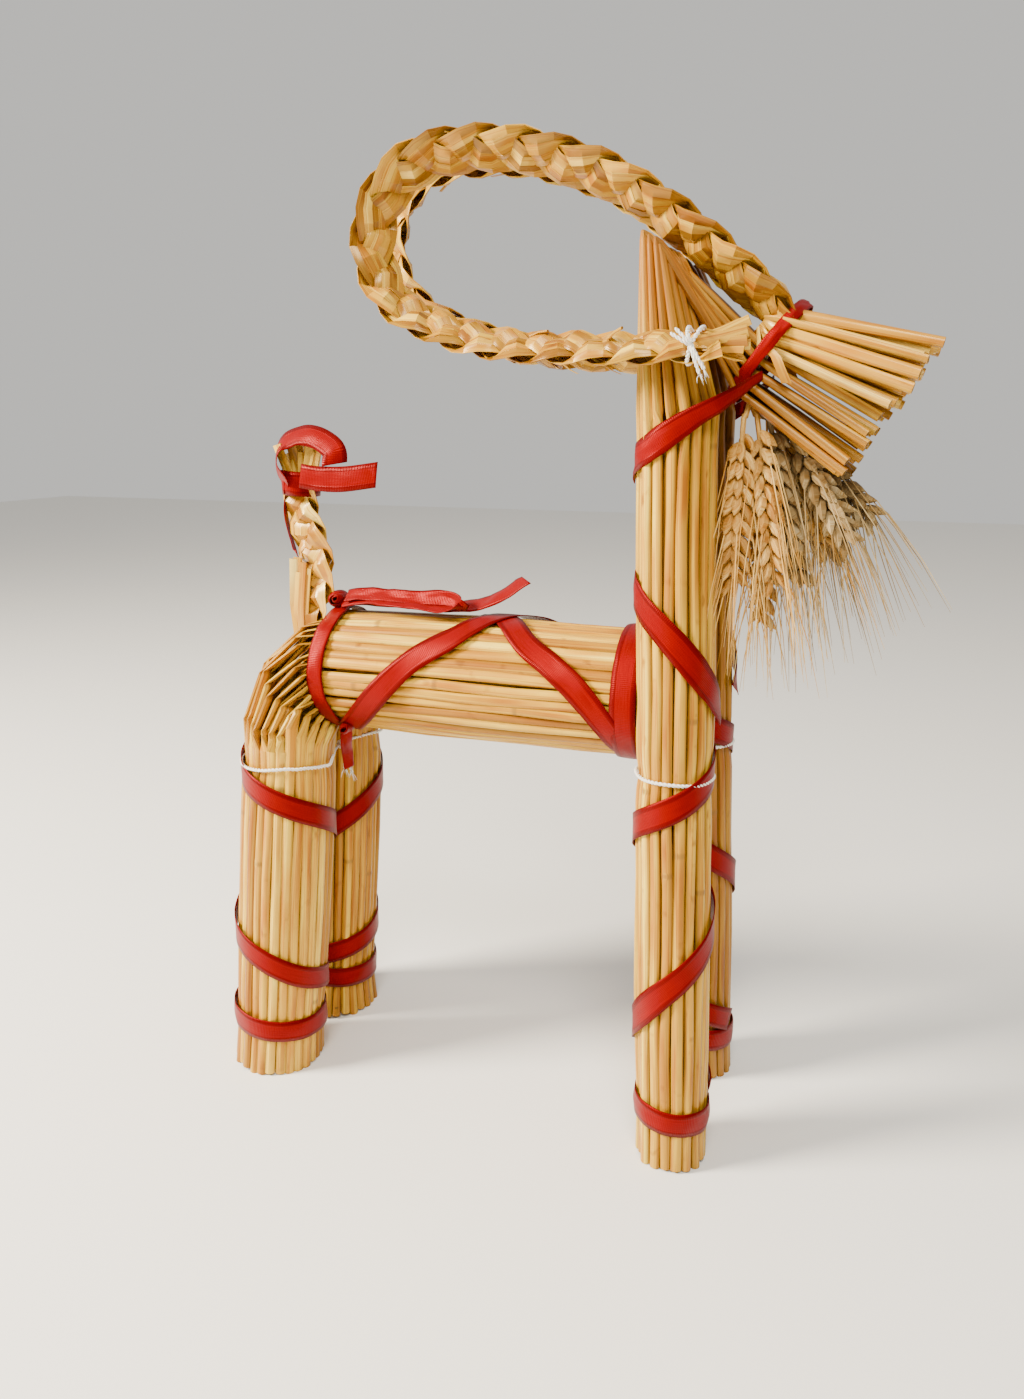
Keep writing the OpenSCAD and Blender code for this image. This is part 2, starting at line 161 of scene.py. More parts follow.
def straw_material(name, tints, roughness, streak, rib_bump, coat):
    material, tree, shader = new_material(name)
    uv = add(tree, "ShaderNodeUVMap", uv_map="UVMap").outputs["UV"]
    tag = add(tree, "ShaderNodeAttribute", attribute_name="straw", attribute_type="GEOMETRY")
    tone, joint, cut = add(tree, "ShaderNodeSeparateColor", {"Color": tag.outputs["Color"]}).outputs

    def grain(across, along, detail):
        stretched = add(tree, "ShaderNodeMapping", {"Vector": uv, "Scale": (1 / across, 1 / along, 1)})
        return add(tree, "ShaderNodeTexNoise",
                   {"Vector": stretched.outputs[0], "Scale": 1.0, "Detail": detail}).outputs["Fac"]

    ribs = grain(RIB, 60, 1)
    streaks = grain(STREAK_WIDE, STREAK_LONG, 3)
    blotches = grain(BLOTCH_WIDE, BLOTCH_LONG, 2)
    base = ramp(tree, tone, [(i / (len(tints) - 1), code) for i, code in enumerate(tints)])
    wide = add(tree, "ShaderNodeMapRange", {0: streaks, 1: 0.32, 2: 0.68, 3: 0, 4: 1}).outputs[0]
    base = mixed(tree, wide, base, mixed(tree, 1.0, base, linear(streak), "MULTIPLY"))
    rib_shade = ramp(tree, ribs, [(0.36, "#d8c296"), (0.58, "#ffffff")])
    base = mixed(tree, 1.0, base, rib_shade, "MULTIPLY")
    spots = ramp(tree, blotches, [(0.24, "#b59a74"), (0.36, "#ffffff")])
    base = mixed(tree, 0.8, base, spots, "MULTIPLY")
    # Tan browns aged straw; on the muzzle stalks it is partly painted shade.
    tanned = mixed(tree, 1.0, base, linear("#d99a58"), "MULTIPLY")
    base = mixed(tree, tag.outputs["Alpha"], base, tanned)
    # The joint colour darkens real joints and is also painted shade in creases and folds.
    base = mixed(tree, joint, base, linear("#6e4a22"))
    # The cut colour is painted shade: in hollow and cut ends, the gaps between straws, the folded muzzle
    # stalks and the hidden heart of a plait.
    base = mixed(tree, cut, base, linear("#5c431c"))
    bump = add(tree, "ShaderNodeBump", {"Height": ribs, "Strength": rib_bump, "Distance": 0.0003})
    rough = add(tree, "ShaderNodeMapRange", {0: streaks, 3: roughness - 0.07, 4: roughness + 0.1})
    tree.links.new(base, shader.inputs["Base Color"])
    tree.links.new(bump.outputs["Normal"], shader.inputs["Normal"])
    tree.links.new(rough.outputs[0], shader.inputs["Roughness"])
    shader.inputs["IOR"].default_value = STRAW_IOR
    shader.inputs["Specular Tint"].default_value = linear("#ffdc9c")
    shader.inputs["Coat Weight"].default_value = coat
    shader.inputs["Coat Roughness"].default_value = 0.22
    return material


# %% Four kinds of straw
# Ripe rye stalk, cut and dried whole: honey gold with a soft waxy gloss.
rye_stalk = straw_material(
    "rye_stalk_dried", ["#a67618", "#c49726", "#d8b034", "#e4c244", "#f0d75c"], 0.34, "#d8ac5c", 0.5, 0.08)
# A darker, duller copy of the same stalk for the tongue between the front bundles: painted shade.
shaded_stalk = straw_material(
    "rye_stalk_painted_shade", ["#946012", "#b0761a", "#c48a22", "#d09a2a", "#deb03c"], 0.4, "#cf9a4c", 0.4, 0.05)
# Soaked, split, pressed flat and braided: the wax is polished, so each fold flashes.
braid_straw = straw_material(
    "rye_straw_pressed", ["#84600e", "#a8801c", "#c09828", "#d0aa36", "#e2c458"], 0.26, "#d0a450",
    0.35, 0.14)
# Pale straw from the top of the stalk, where the loose ends of the braids stick out.
pale_straw = straw_material(
    "rye_straw_pale", ["#b48628", "#c89e34", "#d8b244", "#e5c65c", "#f0da80"], 0.27, "#ddb664", 0.3, 0.15)
print("straw materials:", [m.name for m in (rye_stalk, shaded_stalk, braid_straw, pale_straw)])

# %% [markdown]
# ## Bending a tube along a path
# One stalk could be a curve with a bevel, but then it could not be flattened at a crease, swell at a
# joint or end in a real hollow. So a straight tube is made once by extruding a circle ring by ring,
# and each stalk is a copy of it whose rings are carried to stations along its own path. A station
# says where the ring's centre is, how wide and how thick it is, and how dark.

# %% Tube template and stations
templates = {}


def tube_template(rings, sides):
    if (rings, sides) not in templates:
        bm = bmesh.new()
        bmesh.ops.create_circle(bm, cap_ends=True, segments=sides, radius=1)
        edges = bm.edges[:]
        for level in range(1, rings):
            out = bmesh.ops.extrude_edge_only(bm, edges=edges)["geom"]
            ring = [g for g in out if isinstance(g, bmesh.types.BMVert)]
            bmesh.ops.translate(bm, verts=ring, vec=(0, 0, 1))
            new_edges = [g for g in out if isinstance(g, bmesh.types.BMEdge)]
            edges = [e for e in new_edges if all(v in ring for v in e.verts)]
        bmesh.ops.contextual_create(bm, geom=edges)
        bmesh.ops.recalc_face_normals(bm, faces=bm.faces)
        mesh = bpy.data.meshes.new(f"tube_{rings}_{sides}")
        bm.to_mesh(mesh)
        bm.free()
        templates[(rings, sides)] = mesh
    return templates[(rings, sides)]


class Station:
    """One ring of a stalk. Sizes are in millimetres; flat goes from 0 (round) to 1 (pressed flat).

    joint, cut and tan, from 0 to 1, colour the ring as a joint, with painted shade, and as straw
    browned by age: joint also paints shade into a crease, cut paints it into a hollow or cut end, a
    gap or a hidden part, and on the muzzle tan is partly painted shade. across is the way that the
    ring is wide, thick half its thickness.
    """

    def __init__(self, place, radius, flat=0.0, joint=0.0, cut=0.0, across=None, thick=None, tan=0.0):
        self.place, self.radius, self.flat, self.tan = Vector(place), radius, flat, tan
        self.joint, self.cut, self.across, self.thick = joint, cut, across, thick


def start_piece():
    bm = bmesh.new()
    bm.loops.layers.uv.new("UVMap")
    bm.verts.layers.float_color.new("straw")
    return bm


def ring_frames(stations, side_axis):
    """How far along each ring is, and the three directions (wide, deep, heading) it is set in."""
    along, frames = [0.0], []
    for i, s in enumerate(stations):
        before, after = stations[max(i - 1, 0)], stations[min(i + 1, len(stations) - 1)]
        heading = after.place - before.place
        if i:
            along.append(along[-1] + (s.place - before.place).length)
        if heading.length < 1e-6:
            heading = frames[-1][2] if frames else Vector((0, 0, 1))
        heading = heading.normalized()
        if frames and heading.dot(frames[-1][2]) < 0:
            heading = frames[-1][2]
        wide = s.across or side_axis
        wide = (wide - heading * wide.dot(heading)).normalized()
        frames.append((wide, heading.cross(wide), heading))
    return along, frames


# A crushed tube gets thinner and wider: how much of each when it is pressed quite flat.
THINNER, WIDER = 0.62, 0.32
# While a tube is laid, the attribute's last number holds its vertex's place: ring + side * PLACES.
PLACES = 2000


def lay(bm, stations, sides, tone, side_axis=Y, spin=0.0, gap_shade=0.0):
    """Adds one tube to bm: its rings are carried to the stations. Painted shade darkens its two edges, in
    the gaps between straws.
    """
    first = len(bm.verts)
    first_face = len(bm.faces)
    bm.from_mesh(tube_template(len(stations), sides))
    bm.verts.ensure_lookup_table()
    bm.faces.ensure_lookup_table()
    tag = bm.verts.layers.float_color["straw"]
    uv = bm.loops.layers.uv["UVMap"]
    along, frames = ring_frames(stations, side_axis)
    shift = random.random() * 400
    step = 2 * math.pi / sides
    for v in bm.verts[first:]:
        i = round(v.co.z)
        turn = math.atan2(v.co.y, v.co.x)
        s = stations[i]
        wide, deep, _ = frames[i]
        half_thick = s.thick or s.radius * (1 - THINNER * s.flat)
        v.co = (s.place + wide * (s.radius * (1 + WIDER * s.flat) * math.cos(turn + spin))
                + deep * (half_thick * math.sin(turn + spin))) * MM
        # Painted shade: the cut number plus a darkening of the tube's two edges, where it meets its
        # neighbours.
        edge = max(0, min(1, s.cut + gap_shade * math.cos(turn + spin) ** 4))
        v[tag] = (tone, s.joint, edge, i + PLACES * (round(turn / step) % sides))
    for face in bm.faces[first_face:]:
        codes = [divmod(round(loop.vert[tag][3]), PLACES) for loop in face.loops]
        wraps = max(c[0] for c in codes) == sides - 1 and min(c[0] for c in codes) == 0
        face.smooth = len(face.verts) == 4
        for loop, (k, i) in zip(face.loops, codes):
            k = sides if wraps and k == 0 and len(face.verts) == 4 else k
            loop[uv].uv = (shift + k * step * stations[i].radius, along[i] + shift)
    for v in bm.verts[first:]:
        v[tag] = (*v[tag][:3], stations[round(v[tag][3]) % PLACES].tan)


# %% [markdown]
# ## Finishing a piece
# Every piece ends the same way. Its bmesh becomes a mesh and an object at the origin, folds over a
# given angle stay sharp, it is parented to the body that it rides on, and the CAD nodes that it
# stands for are hidden.

# %% Finish a piece
def finish_piece(bm, name, material, replaces, sharp=None):
    mesh = bpy.data.meshes.new(name)
    bm.to_mesh(mesh)
    bm.free()
    if sharp:
        mesh.set_sharp_from_angle(angle=math.radians(sharp))
    piece = bpy.data.objects.new(name, mesh)
    bpy.context.scene.collection.objects.link(piece)
    mesh.materials.append(material)
    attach(piece, "root")
    if replaces:
        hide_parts(*replaces)
    print(f"{name}: {sum(len(p.vertices) - 2 for p in mesh.polygons)} triangles")
    return piece


# %% [markdown]
# ## Reading the bundles from the frame
# Each outer stalk in the CAD model is a plain cylinder of its own. Its two ends are found by
# grouping the connected vertices, so that every detailed stalk below starts and ends exactly where
# the design says.

# %% Ends of each CAD stalk
def connected(seed, seen):
    """The places, in millimetres, of all vertices joined to seed."""
    island, queue = [], [seed]
    seen.add(seed)
    while queue:
        v = queue.pop()
        island.append(v.co / MM)
        for edge in v.link_edges:
            other = edge.other_vert(v)
            if other not in seen:
                seen.add(other)
                queue.append(other)
    return island


def stalk_lines(node):
    """(low end, high end) in millimetres of each separate cylinder in a CAD node."""
    bm = bmesh.new()
    bm.from_mesh(frame["nodes"][node].data)
    bmesh.ops.remove_doubles(bm, verts=bm.verts, dist=1e-6)
    seen, lines = set(), []
    for seed in bm.verts:
        if seed in seen:
            continue
        island = connected(seed, seen)
        middle = sum(island, Vector()) / len(island)
        far = max(island, key=lambda p: (p - middle).length) - middle
        ends = []
        for sign in (-1, 1):
            half = [p for p in island if sign * (p - middle).dot(far) > 0]
            ends.append(sum(half, Vector()) / len(half))
        lines.append(sorted(ends, key=lambda p: p.z))
    bm.free()
    return lines


front_lines = {side: stalk_lines(f"{side}_front_stalks") for side in SIDES}
hind_lines = {side: stalk_lines(f"{side}_hind_stalks") for side in SIDES}
print("outer stalks per front bundle and hind leg:", len(front_lines["right"]), len(hind_lines["right"]))

# %% [markdown]
# ## Measuring helpers
# The CAD boxes come in metres, and everything below is worked out in millimetres. A leg's axis is
# the middle of its ring of stalks, and a bell curve marks the places where something is local.

# %% Boxes, axes and blends
def box_mm(node):
    low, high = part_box(node)
    return low / MM, high / MM


def middle_of(node):
    low, high = box_mm(node)
    return (low + high) / 2


def lerp(a, b, t):
    return a + (b - a) * t


def bell(x, centre, width):
    return math.exp(-((x - centre) / width) ** 2)


def middle_foot(lines):
    return sum((low for low, _ in lines), Vector()) / len(lines)


def middle_top(lines):
    return sum((high for _, high in lines), Vector()) / len(lines)


right_feet = [middle_foot(lines["right"]) for lines in (front_lines, hind_lines)]
print("the right feet stand at x =", [round(foot.x) for foot in right_feet])


# %% [markdown]
# ## Where the goat is squeezed
# String and ribbon pull a bundle in by a millimetre or so, and the stalks spread again between
# them. The heights come from the CAD strings and bands.

# %% Waists of the bundles
FRONT_STRING_Z = middle_of("right_front_string").z
HIND_STRING_Z = middle_of("hind_string").z
FRONT_BAND_Z = middle_of("right_front_foot_band").z
HIND_BAND_Z = middle_of("right_hind_foot_band").z
tie_low, tie_high = box_mm("muzzle_ribbon")
TIE = (tie_low + tie_high) / 2
TIE_UP = Vector((0.61, 0, 0.79)).normalized()
TIE_FORWARD = Vector((0.79, 0, -0.61)).normalized()
print("muzzle tie in the middle of", [round(c, 1) for c in TIE])


def front_waist(z):
    return 1 - 0.07 * bell(z, FRONT_STRING_Z, 7) - 0.035 * bell(z, FRONT_BAND_Z, 9) - 0.03 * bell(z, 0, 6)


# The left hind leg is loose at its foot, where its stalks splay.
FLARE = {"right": 0.02, "left": 0.13}


def hind_waist(z, flare=0.02):
    return (1 - 0.05 * bell(z, HIND_STRING_Z, 8) - 0.03 * bell(z, HIND_BAND_Z, 9)
            + 0.03 * bell(z, 90, 40) + flare * bell(z, 0, 12))


# %% [markdown]
# ## A whole stalk
# Real stalks are neither straight nor even: each bows a little, tapers towards its ear, and has a
# joint every 150 to 250 mm, a slightly thicker, darker ring with a pale collar. The open end is a
# rim 0.5 mm thick, and the hollow behind it is painted dark as shade.

# %% Stations for a stalk
def wander(seed, s, size):
    """A slow sideways drift of a stalk, the same for the same seed."""
    return Vector((noise.noise(Vector((seed, s / 55, 0))), noise.noise(Vector((seed, s / 55, 9))), 0)) * size


def sideways(offset):
    """The way round a leg at an offset from its middle, always chosen towards the left."""
    way = Vector((-offset.y, offset.x, 0))
    return way if way.y > 0 else -way


def open_end(place, inward, radius, flat=0.0, across=None):
    """Stations of a cut, hollow end, from deep inside to the rim's outer edge; the inside is painted dark as
    shade.
    """
    return [Station(place + inward * 5, radius * 0.62, flat, 0, 1, across),
            Station(place + inward * 0.4, radius * 0.66, flat, 0, 0.75, across),
            Station(place, radius * 0.74, flat, 0, 0.35, across),
            Station(place, radius, flat, 0, 0.12, across)]


def joint_heights(rng, length):
    heights, s = [], rng.uniform(20, 420)
    while s < length - 10:
        heights.append(s)
        s += rng.uniform(210, 330)
    return heights


def spaced(length, joints, step, extra=()):
    """Distances along a stalk for its rings: even steps, three at each joint, and some of our own."""
    count = max(1, round(length / step))
    marks = [length * i / count for i in range(count + 1)]
    marks += [j + d for j in joints for d in (-1.6, -0.5, 0.5, 1.6) if 1 < j + d < length - 1]
    marks += [e for e in extra if 1 < e < length - 1]
    marks = sorted(marks)
    kept = [marks[0]]
    for m in marks[1:]:
        if m - kept[-1] > 0.45:
            kept.append(m)
    return kept


def shade(s, joints):
    return max([0.0] + [0.85 * bell(s, j, 0.8) for j in joints])


def swell(s, joints):
    return 1 + sum(0.09 * bell(s, j, 1.4) for j in joints)


def packed_stalk(bm, rng, leg, angle, circle, waist, heights, uneven):
    """A stalk of the packing inside a leg; leg is (axis, upward direction, ring radius)."""
    axis, axis_up, ring = leg
    offset = Vector((math.cos(angle), math.sin(angle), 0)) * ring * circle
    radius = rng.uniform(1.8, 2.2)
    heel = rng.uniform(0, uneven)
    stations = open_end(axis(heel) + offset, axis_up, radius)
    stations += [Station(axis(z) + offset * waist(z), radius, 0.1) for z in heights]
    # The packed inner stalks take only the darker half of the tones: painted shade inside the bundle.
    lay(bm, stations, 7, rng.random() * 0.6)


print("a stalk's open end drawn with", len(open_end(Vector(), Vector((0, 0, 1)), 2)), "rings")


# %% [markdown]
# ## Front bundles: leg, neck and muzzle in one
# A front leg is not a leg with a neck on it. The same 37 stalks run from the foot past the body to
# the top of the head, where they are gathered to a point, creased over and tied again as the lower
# half of the muzzle. At the fold a stalk flattens, and the muzzle tie squeezes it again before it
# opens out.

# %% Where a creased stalk goes
# The muzzle's cut ends lie in a fan of rows between these two points on the middle plane.
FAN_LOW = Vector((115, 0, 275))
FAN_HIGH = Vector((145, 0, 322))
FAN_ROWS = 10


def tie_place(row, column, side):
    return TIE + TIE_UP * (-16 + 4.1 * row) + Vector((0, side * (2.0 + 3.6 * column), 0))


def fan_place(row, column, side, rng):
    cut = lerp(FAN_LOW, FAN_HIGH, (row + 0.2) / FAN_ROWS)
    spread = side * (2.5 + 5.6 * column) + rng.uniform(-0.8, 0.8)
    return cut + Vector((rng.uniform(-4, 1.5), spread, rng.uniform(-0.8, 0.8)))


def muzzle_part(start, neck_heading, row, column, side, radius, rng):
    """Stations from the crease at the head through the tie to the open end."""
    squeezed, tip = tie_place(row, column, side), fan_place(row, column, side, rng)
    into = (squeezed - start).normalized()
    out = (tip - squeezed).normalized()
    slim = radius * 0.92
    # At the fold the joint number paints shade into the crease. The tan of the muzzle stalks is partly their
    # own and partly painted shade.
    parts = [Station(start - neck_heading * 3, radius, 0.25, tan=0.3),
             Station(start, radius, 0.8, 0.2, tan=0.5),
             Station(start + into * 2.5, slim, 0.35),
             Station(start + into * 8, slim, 0.08),
             Station(lerp(start, squeezed, 0.55), slim),
             Station(squeezed - into * 4, slim, 0.35),
             Station(squeezed, slim * 0.9, 0.5),
             Station(squeezed + out * 5, slim, 0.3),
             Station(lerp(squeezed, tip, 0.4), slim, 0.05)]
    for part in parts[2:]:
        part.tan = rng.uniform(0.35, 0.75)
    tail = open_end(tip, -out, slim)[::-1]
    for part in tail:
        part.tan = 0.3
    return parts + tail


print("the muzzle's cut runs over", round((FAN_HIGH - FAN_LOW).length), "mm")

# %% [markdown]
# ## One stalk of a front bundle
# The stalk rises in the ring, a little flattened against its neighbours, up to where the bundle is
# gathered. There it leans in to its own place at the nape and is folded over to its own row and
# column of the muzzle: the front stalks go low in the muzzle and the rear ones high.

# %% A front stalk
GATHERED = 62
FRONT_MARKS = [FRONT_STRING_Z + d for d in (-12, -6, -2, 2, 6, 12)] + [FRONT_BAND_Z]


def front_pinch(z):
    return 0.28 * bell(z, FRONT_STRING_Z, 3) + 0.12 * bell(z, FRONT_BAND_Z, 6)


def front_stalk(bm, rng, i, line, foot, leg, nape, side):
    axis, axis_up, ring = leg
    offset = line[0] - foot
    offset.z = 0
    radius = rng.uniform(1.85, 2.35)
    offset = offset * ((ring + rng.uniform(-0.45, 0.25)) / ring)
    length = line[1].z
    gather = nape.z - GATHERED
    joints = joint_heights(rng, length)
    seed = rng.uniform(0, 900)
    heights = spaced(length, joints, 24, FRONT_MARKS)
    heel = rng.uniform(0, 1.6) if i % 3 else 0

    def at(z):
        return axis(z) + offset * front_waist(z) + wander(seed, z, 0.9)

    round_way = sideways(offset)
    press = rng.uniform(0.05, 0.3)
    sole = at(heel) - Vector((0, 0, at(heel).z - heel))
    stations = open_end(sole, axis_up, radius * 0.98, press, round_way)
    stations += [Station(at(z), radius * swell(z, joints) * (1 - 0.0004 * z), press + front_pinch(z),
                         shade(z, joints), across=round_way)
                 for z in heights[1:-1] if heel + 1.5 < z < gather]
    stations.append(Station(at(gather), radius * 0.97, 0.05))
    pair = i // 2
    row = min(pair // 2, 4)
    outer = side * offset.y > 0
    column = (2 if outer else 1) if pair % 2 == 0 else (3 if outer else 0)
    front_share = 0.5 + 0.5 * offset.x / ring
    start = Vector((nape.x + 0.5 + 13 * front_share + rng.uniform(-0.8, 0.8),
                    axis(length).y + offset.y * lerp(0.95, 0.8, front_share),
                    nape.z - 1.0 - 8 * front_share + rng.uniform(-1.5, 0.6)))
    climb = (start - stations[-1].place).normalized()
    folded = muzzle_part(start, climb, row, column, side, radius * 0.9, rng)
    # Folded over at the nape, a stalk is thinner from there on; it is also browner, partly its own tan
    # and partly painted shade, and the cut number adds painted shade.
    for k, station in enumerate(folded[:-3]):
        station.tan = max(station.tan, 0.75 - 0.05 * k)
        station.cut = max(station.cut, 0.16)
        station.radius *= 0.76 if k < 2 else 0.92
    lay(bm, stations + folded, 10, rng.random(), gap_shade=0.45)


# %% Build the front bundles
def front_bundle(side_name):
    side = SIDES[side_name]
    rng = random.Random(11 + side)
    random.seed(21 + side)
    lines = front_lines[side_name]
    foot = middle_foot(lines)
    axis_up = (lines[0][1] - lines[0][0]).normalized()

    def axis(z):
        return foot + axis_up * ((z - foot.z) / axis_up.z)

    leg = (axis, axis_up, (lines[0][0] - foot).length)
    nape = max((high for _, high in lines), key=lambda p: p.z)
    bm = start_piece()
    front_first = sorted(lines, key=lambda line: (line[0] - foot).x, reverse=True)
    for i, line in enumerate(front_first):
        front_stalk(bm, rng, i, line, foot, leg, nape, side)
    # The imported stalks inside: they show at the foot and between the outer ones.
    heights = (12, 60, 120, FRONT_STRING_Z, 210, nape.z - GATHERED - 4)
    for circle, count in ((0.68, 12), (0.35, 6), (0.0, 1)):
        for k in range(count):
            angle = 2 * math.pi * (k + 0.5) / count
            packed_stalk(bm, rng, leg, angle, circle, front_waist, heights, 1.2)
    nodes = [f"{side_name}_{part}" for part in ("front_stalks", "front_core", "muzzle_stalks")]
    return finish_piece(bm, f"{side_name}_front_bundle", rye_stalk, nodes, 50)


front_bundles = [front_bundle(name) for name in SIDES]

# %% [markdown]
# ## The body
# The body is one thick bundle. Its outer stalks are the longest straight straw that shows, and
# behind the front legs they are cut off, except for a thin tongue of the middle ones that passes
# between the two front bundles and locks the legs to the body.

# %% Build the body and its tongue
body_low, body_high = box_mm("body_stalks")
BODY_Z = (body_low.z + body_high.z) / 2
BODY_R = (body_high.z - body_low.z) / 2 - 2
BODY_REAR, BODY_FRONT = body_low.x, body_high.x
BODY_COUNT = len(stalk_lines("body_stalks"))
print(f"body: {BODY_COUNT} outer stalks, {BODY_FRONT - BODY_REAR:.0f} mm long, axis {BODY_Z:.0f} mm up")


def body_stalk(bm, rng, y, z, x0, x1, radius, sides, press=0.1):
    """A straight stalk along X with a slight belly, so that the body is fuller in its middle."""
    joints = joint_heights(rng, x1 - x0)
    seed = rng.uniform(0, 900)

    def at(x):
        full = 1 + 0.025 * math.sin(math.pi * (x - BODY_REAR) / (BODY_FRONT - BODY_REAR))
        drift = wander(seed, x, 1.1)
        return Vector((x, y * full + drift.x, BODY_Z + (z - BODY_Z) * full + drift.y))

    marks = [x0 + s for s in spaced(x1 - x0, joints, 22)]
    shifted = [x0 + j for j in joints]
    # Packed stalks are pressed a little flat against the round of the bundle.
    round_way = Vector((0, z - BODY_Z + 0.01, -y))
    stations = [Station(at(x), radius * swell(x, shifted), press, shade(x, shifted), across=round_way)
                for x in marks[:-1]]
    stations += open_end(at(x1), Vector((-1, 0, 0)), radius, press, round_way)[::-1]
    lay(bm, stations, sides, rng.random(), gap_shade=0.3)


def body_bundle():
    rng = random.Random(5)
    random.seed(6)
    bm = start_piece()
    for k in range(BODY_COUNT):
        a = 2 * math.pi * (k + 0.5 + rng.uniform(-0.12, 0.12)) / BODY_COUNT
        r = BODY_R + rng.uniform(-0.5, 0.3)
        body_stalk(bm, rng, r * math.sin(a), BODY_Z + r * math.cos(a), BODY_REAR - 8,
                   BODY_FRONT - rng.uniform(0, 4), rng.uniform(1.95, 2.35), 10, rng.uniform(0.15, 0.5))
    # Inside the outer ring five more rings are packed, each 4.2 mm within the last.
    for circle, number in ((20, 30), (15.8, 23), (11.6, 17), (7.4, 11), (3.2, 5)):
        for k in range(number):
            a = 2 * math.pi * k / number + circle
            body_stalk(bm, rng, circle * math.sin(a), BODY_Z + circle * math.cos(a), BODY_REAR + 2,
                       BODY_FRONT - rng.uniform(1, 6), rng.uniform(1.8, 2.1), 6)
    return finish_piece(bm, "body_bundle", rye_stalk, ["body_stalks", "body_core"], 50)


def body_tongue():
    rng = random.Random(8)
    random.seed(9)
    low, high = box_mm("body_tongue_stalks")
    bm = start_piece()
    rows, columns = 9, 3
    for row in range(rows):
        for column in range(columns):
            y = lerp(low.y + 2, high.y - 2, column / (columns - 1))
            z = lerp(low.z + 2, high.z - 2, row / (rows - 1))
            body_stalk(bm, rng, y, z, low.x - 4, high.x - rng.uniform(6, 11), rng.uniform(1.85, 2.1), 8)
    # The tongue lies between the front bundles and gets the copy with painted shade.
    return finish_piece(bm, "body_tongue", shaded_stalk, ["body_tongue_stalks"], 50)


body_pieces = [body_bundle(), body_tongue()]

# %% [markdown]
# ## Rump and hind legs
# At the rear the body's stalks part into two halves and are bent down as the hind legs. Dry straw
# does not bend, it creases and lies flat there: an outer stalk breaks in three places on a wide
# arc, an inner one folds twice in a tight corner. The bend is squeezed along X because a leg is
# narrower than the body.

# %% Where a stalk leaves the body
HIND_TOP_Z = body_low.z
HOOP_X = middle_of("body_rear_ribbon").x
SQUEEZE = (BODY_REAR - min(high.x for _, high in hind_lines["right"])) / (2 * BODY_R)
HIND_MARKS = [HIND_STRING_Z + d for d in (-9, -4, 0, 4)] + [HIND_BAND_Z]
# The stalks of half the body are dealt round a leg: these angles take the flat side of the half.
FLAT_FROM, FLAT_TO = 198, 342
print(f"the bend is squeezed to {SQUEEZE:.2f} of its height along X")


def half_outline(angle):
    """Where a leg's ring goes on the body's end: (distance from the middle plane, height)."""
    if FLAT_FROM < angle < FLAT_TO:
        return 1.8, BODY_Z + (BODY_R - 3) * (1 - 2 * (angle - FLAT_FROM) / (FLAT_TO - FLAT_FROM))
    t = math.pi * (((angle + 18) % 360) / 216)
    return BODY_R * math.sin(t), BODY_Z - BODY_R * math.cos(t)


def arc_creases(rng, start, u_body, u_leg, y_body):
    """Three creases that carry an outer stalk round the rump in a wide arc."""
    jitter = rng.uniform(-6, 6)
    creases = []
    for turn in (80 + jitter * 0.5, 52 + jitter, 24 + jitter * 0.5):
        t = turn / 90
        u = lerp(u_body, u_leg, t) * (1 + 0.05 * math.sin(math.radians(2 * turn)))
        u += rng.uniform(-0.9, 1.3)
        creases.append(Vector((BODY_REAR - SQUEEZE * u * math.sin(math.radians(turn)),
                               lerp(y_body, start.y, t ** 1.3),
                               HIND_TOP_Z + u * math.cos(math.radians(turn)))))
    return creases


def mitre_creases(rng, start, u_body, u_leg, y_body):
    """Two close creases where an inner stalk turns a square corner."""
    corner = Vector((max(start.x, BODY_REAR - SQUEEZE * max(u_leg, 4)),
                     lerp(y_body, start.y, 0.6),
                     max(start.z + 2.5, HIND_TOP_Z + max(u_body, 3))))
    fold = rng.uniform(1.2, 2.8)
    return [corner + Vector((-0.3, 0, -fold)), corner + Vector((fold * 0.8, 0, fold * 0.35))]


def creased(path, radius):
    """Stations along straight runs: at each corner the stalk breaks and lies flat."""
    stations = []
    for k, (a, b, c) in enumerate(zip(path, path[1:], path[2:])):
        arriving, leaving = b - a, c - b
        near, far = min(2.0, 0.3 * arriving.length), min(2.0, 0.3 * leaving.length)
        flat = 0.75 if k < len(path) - 3 else 0.85
        # The crease ring carries the joint number: painted shade in the fold.
        stations += [Station(b - arriving.normalized() * near, radius, flat - 0.2),
                     Station(b, radius * 1.1, 1.2, 0.18),
                     Station(b + leaving.normalized() * far, radius, flat)]
    return stations + [Station(path[-1], radius * 0.9, 0.6)]


# %% [markdown]
# ## One stalk of a hind leg
# A stalk is built from its foot up and then over the rump to just inside the body. A second layer
# of the same stalks lies within the first one and closes the gaps that open between the creases.

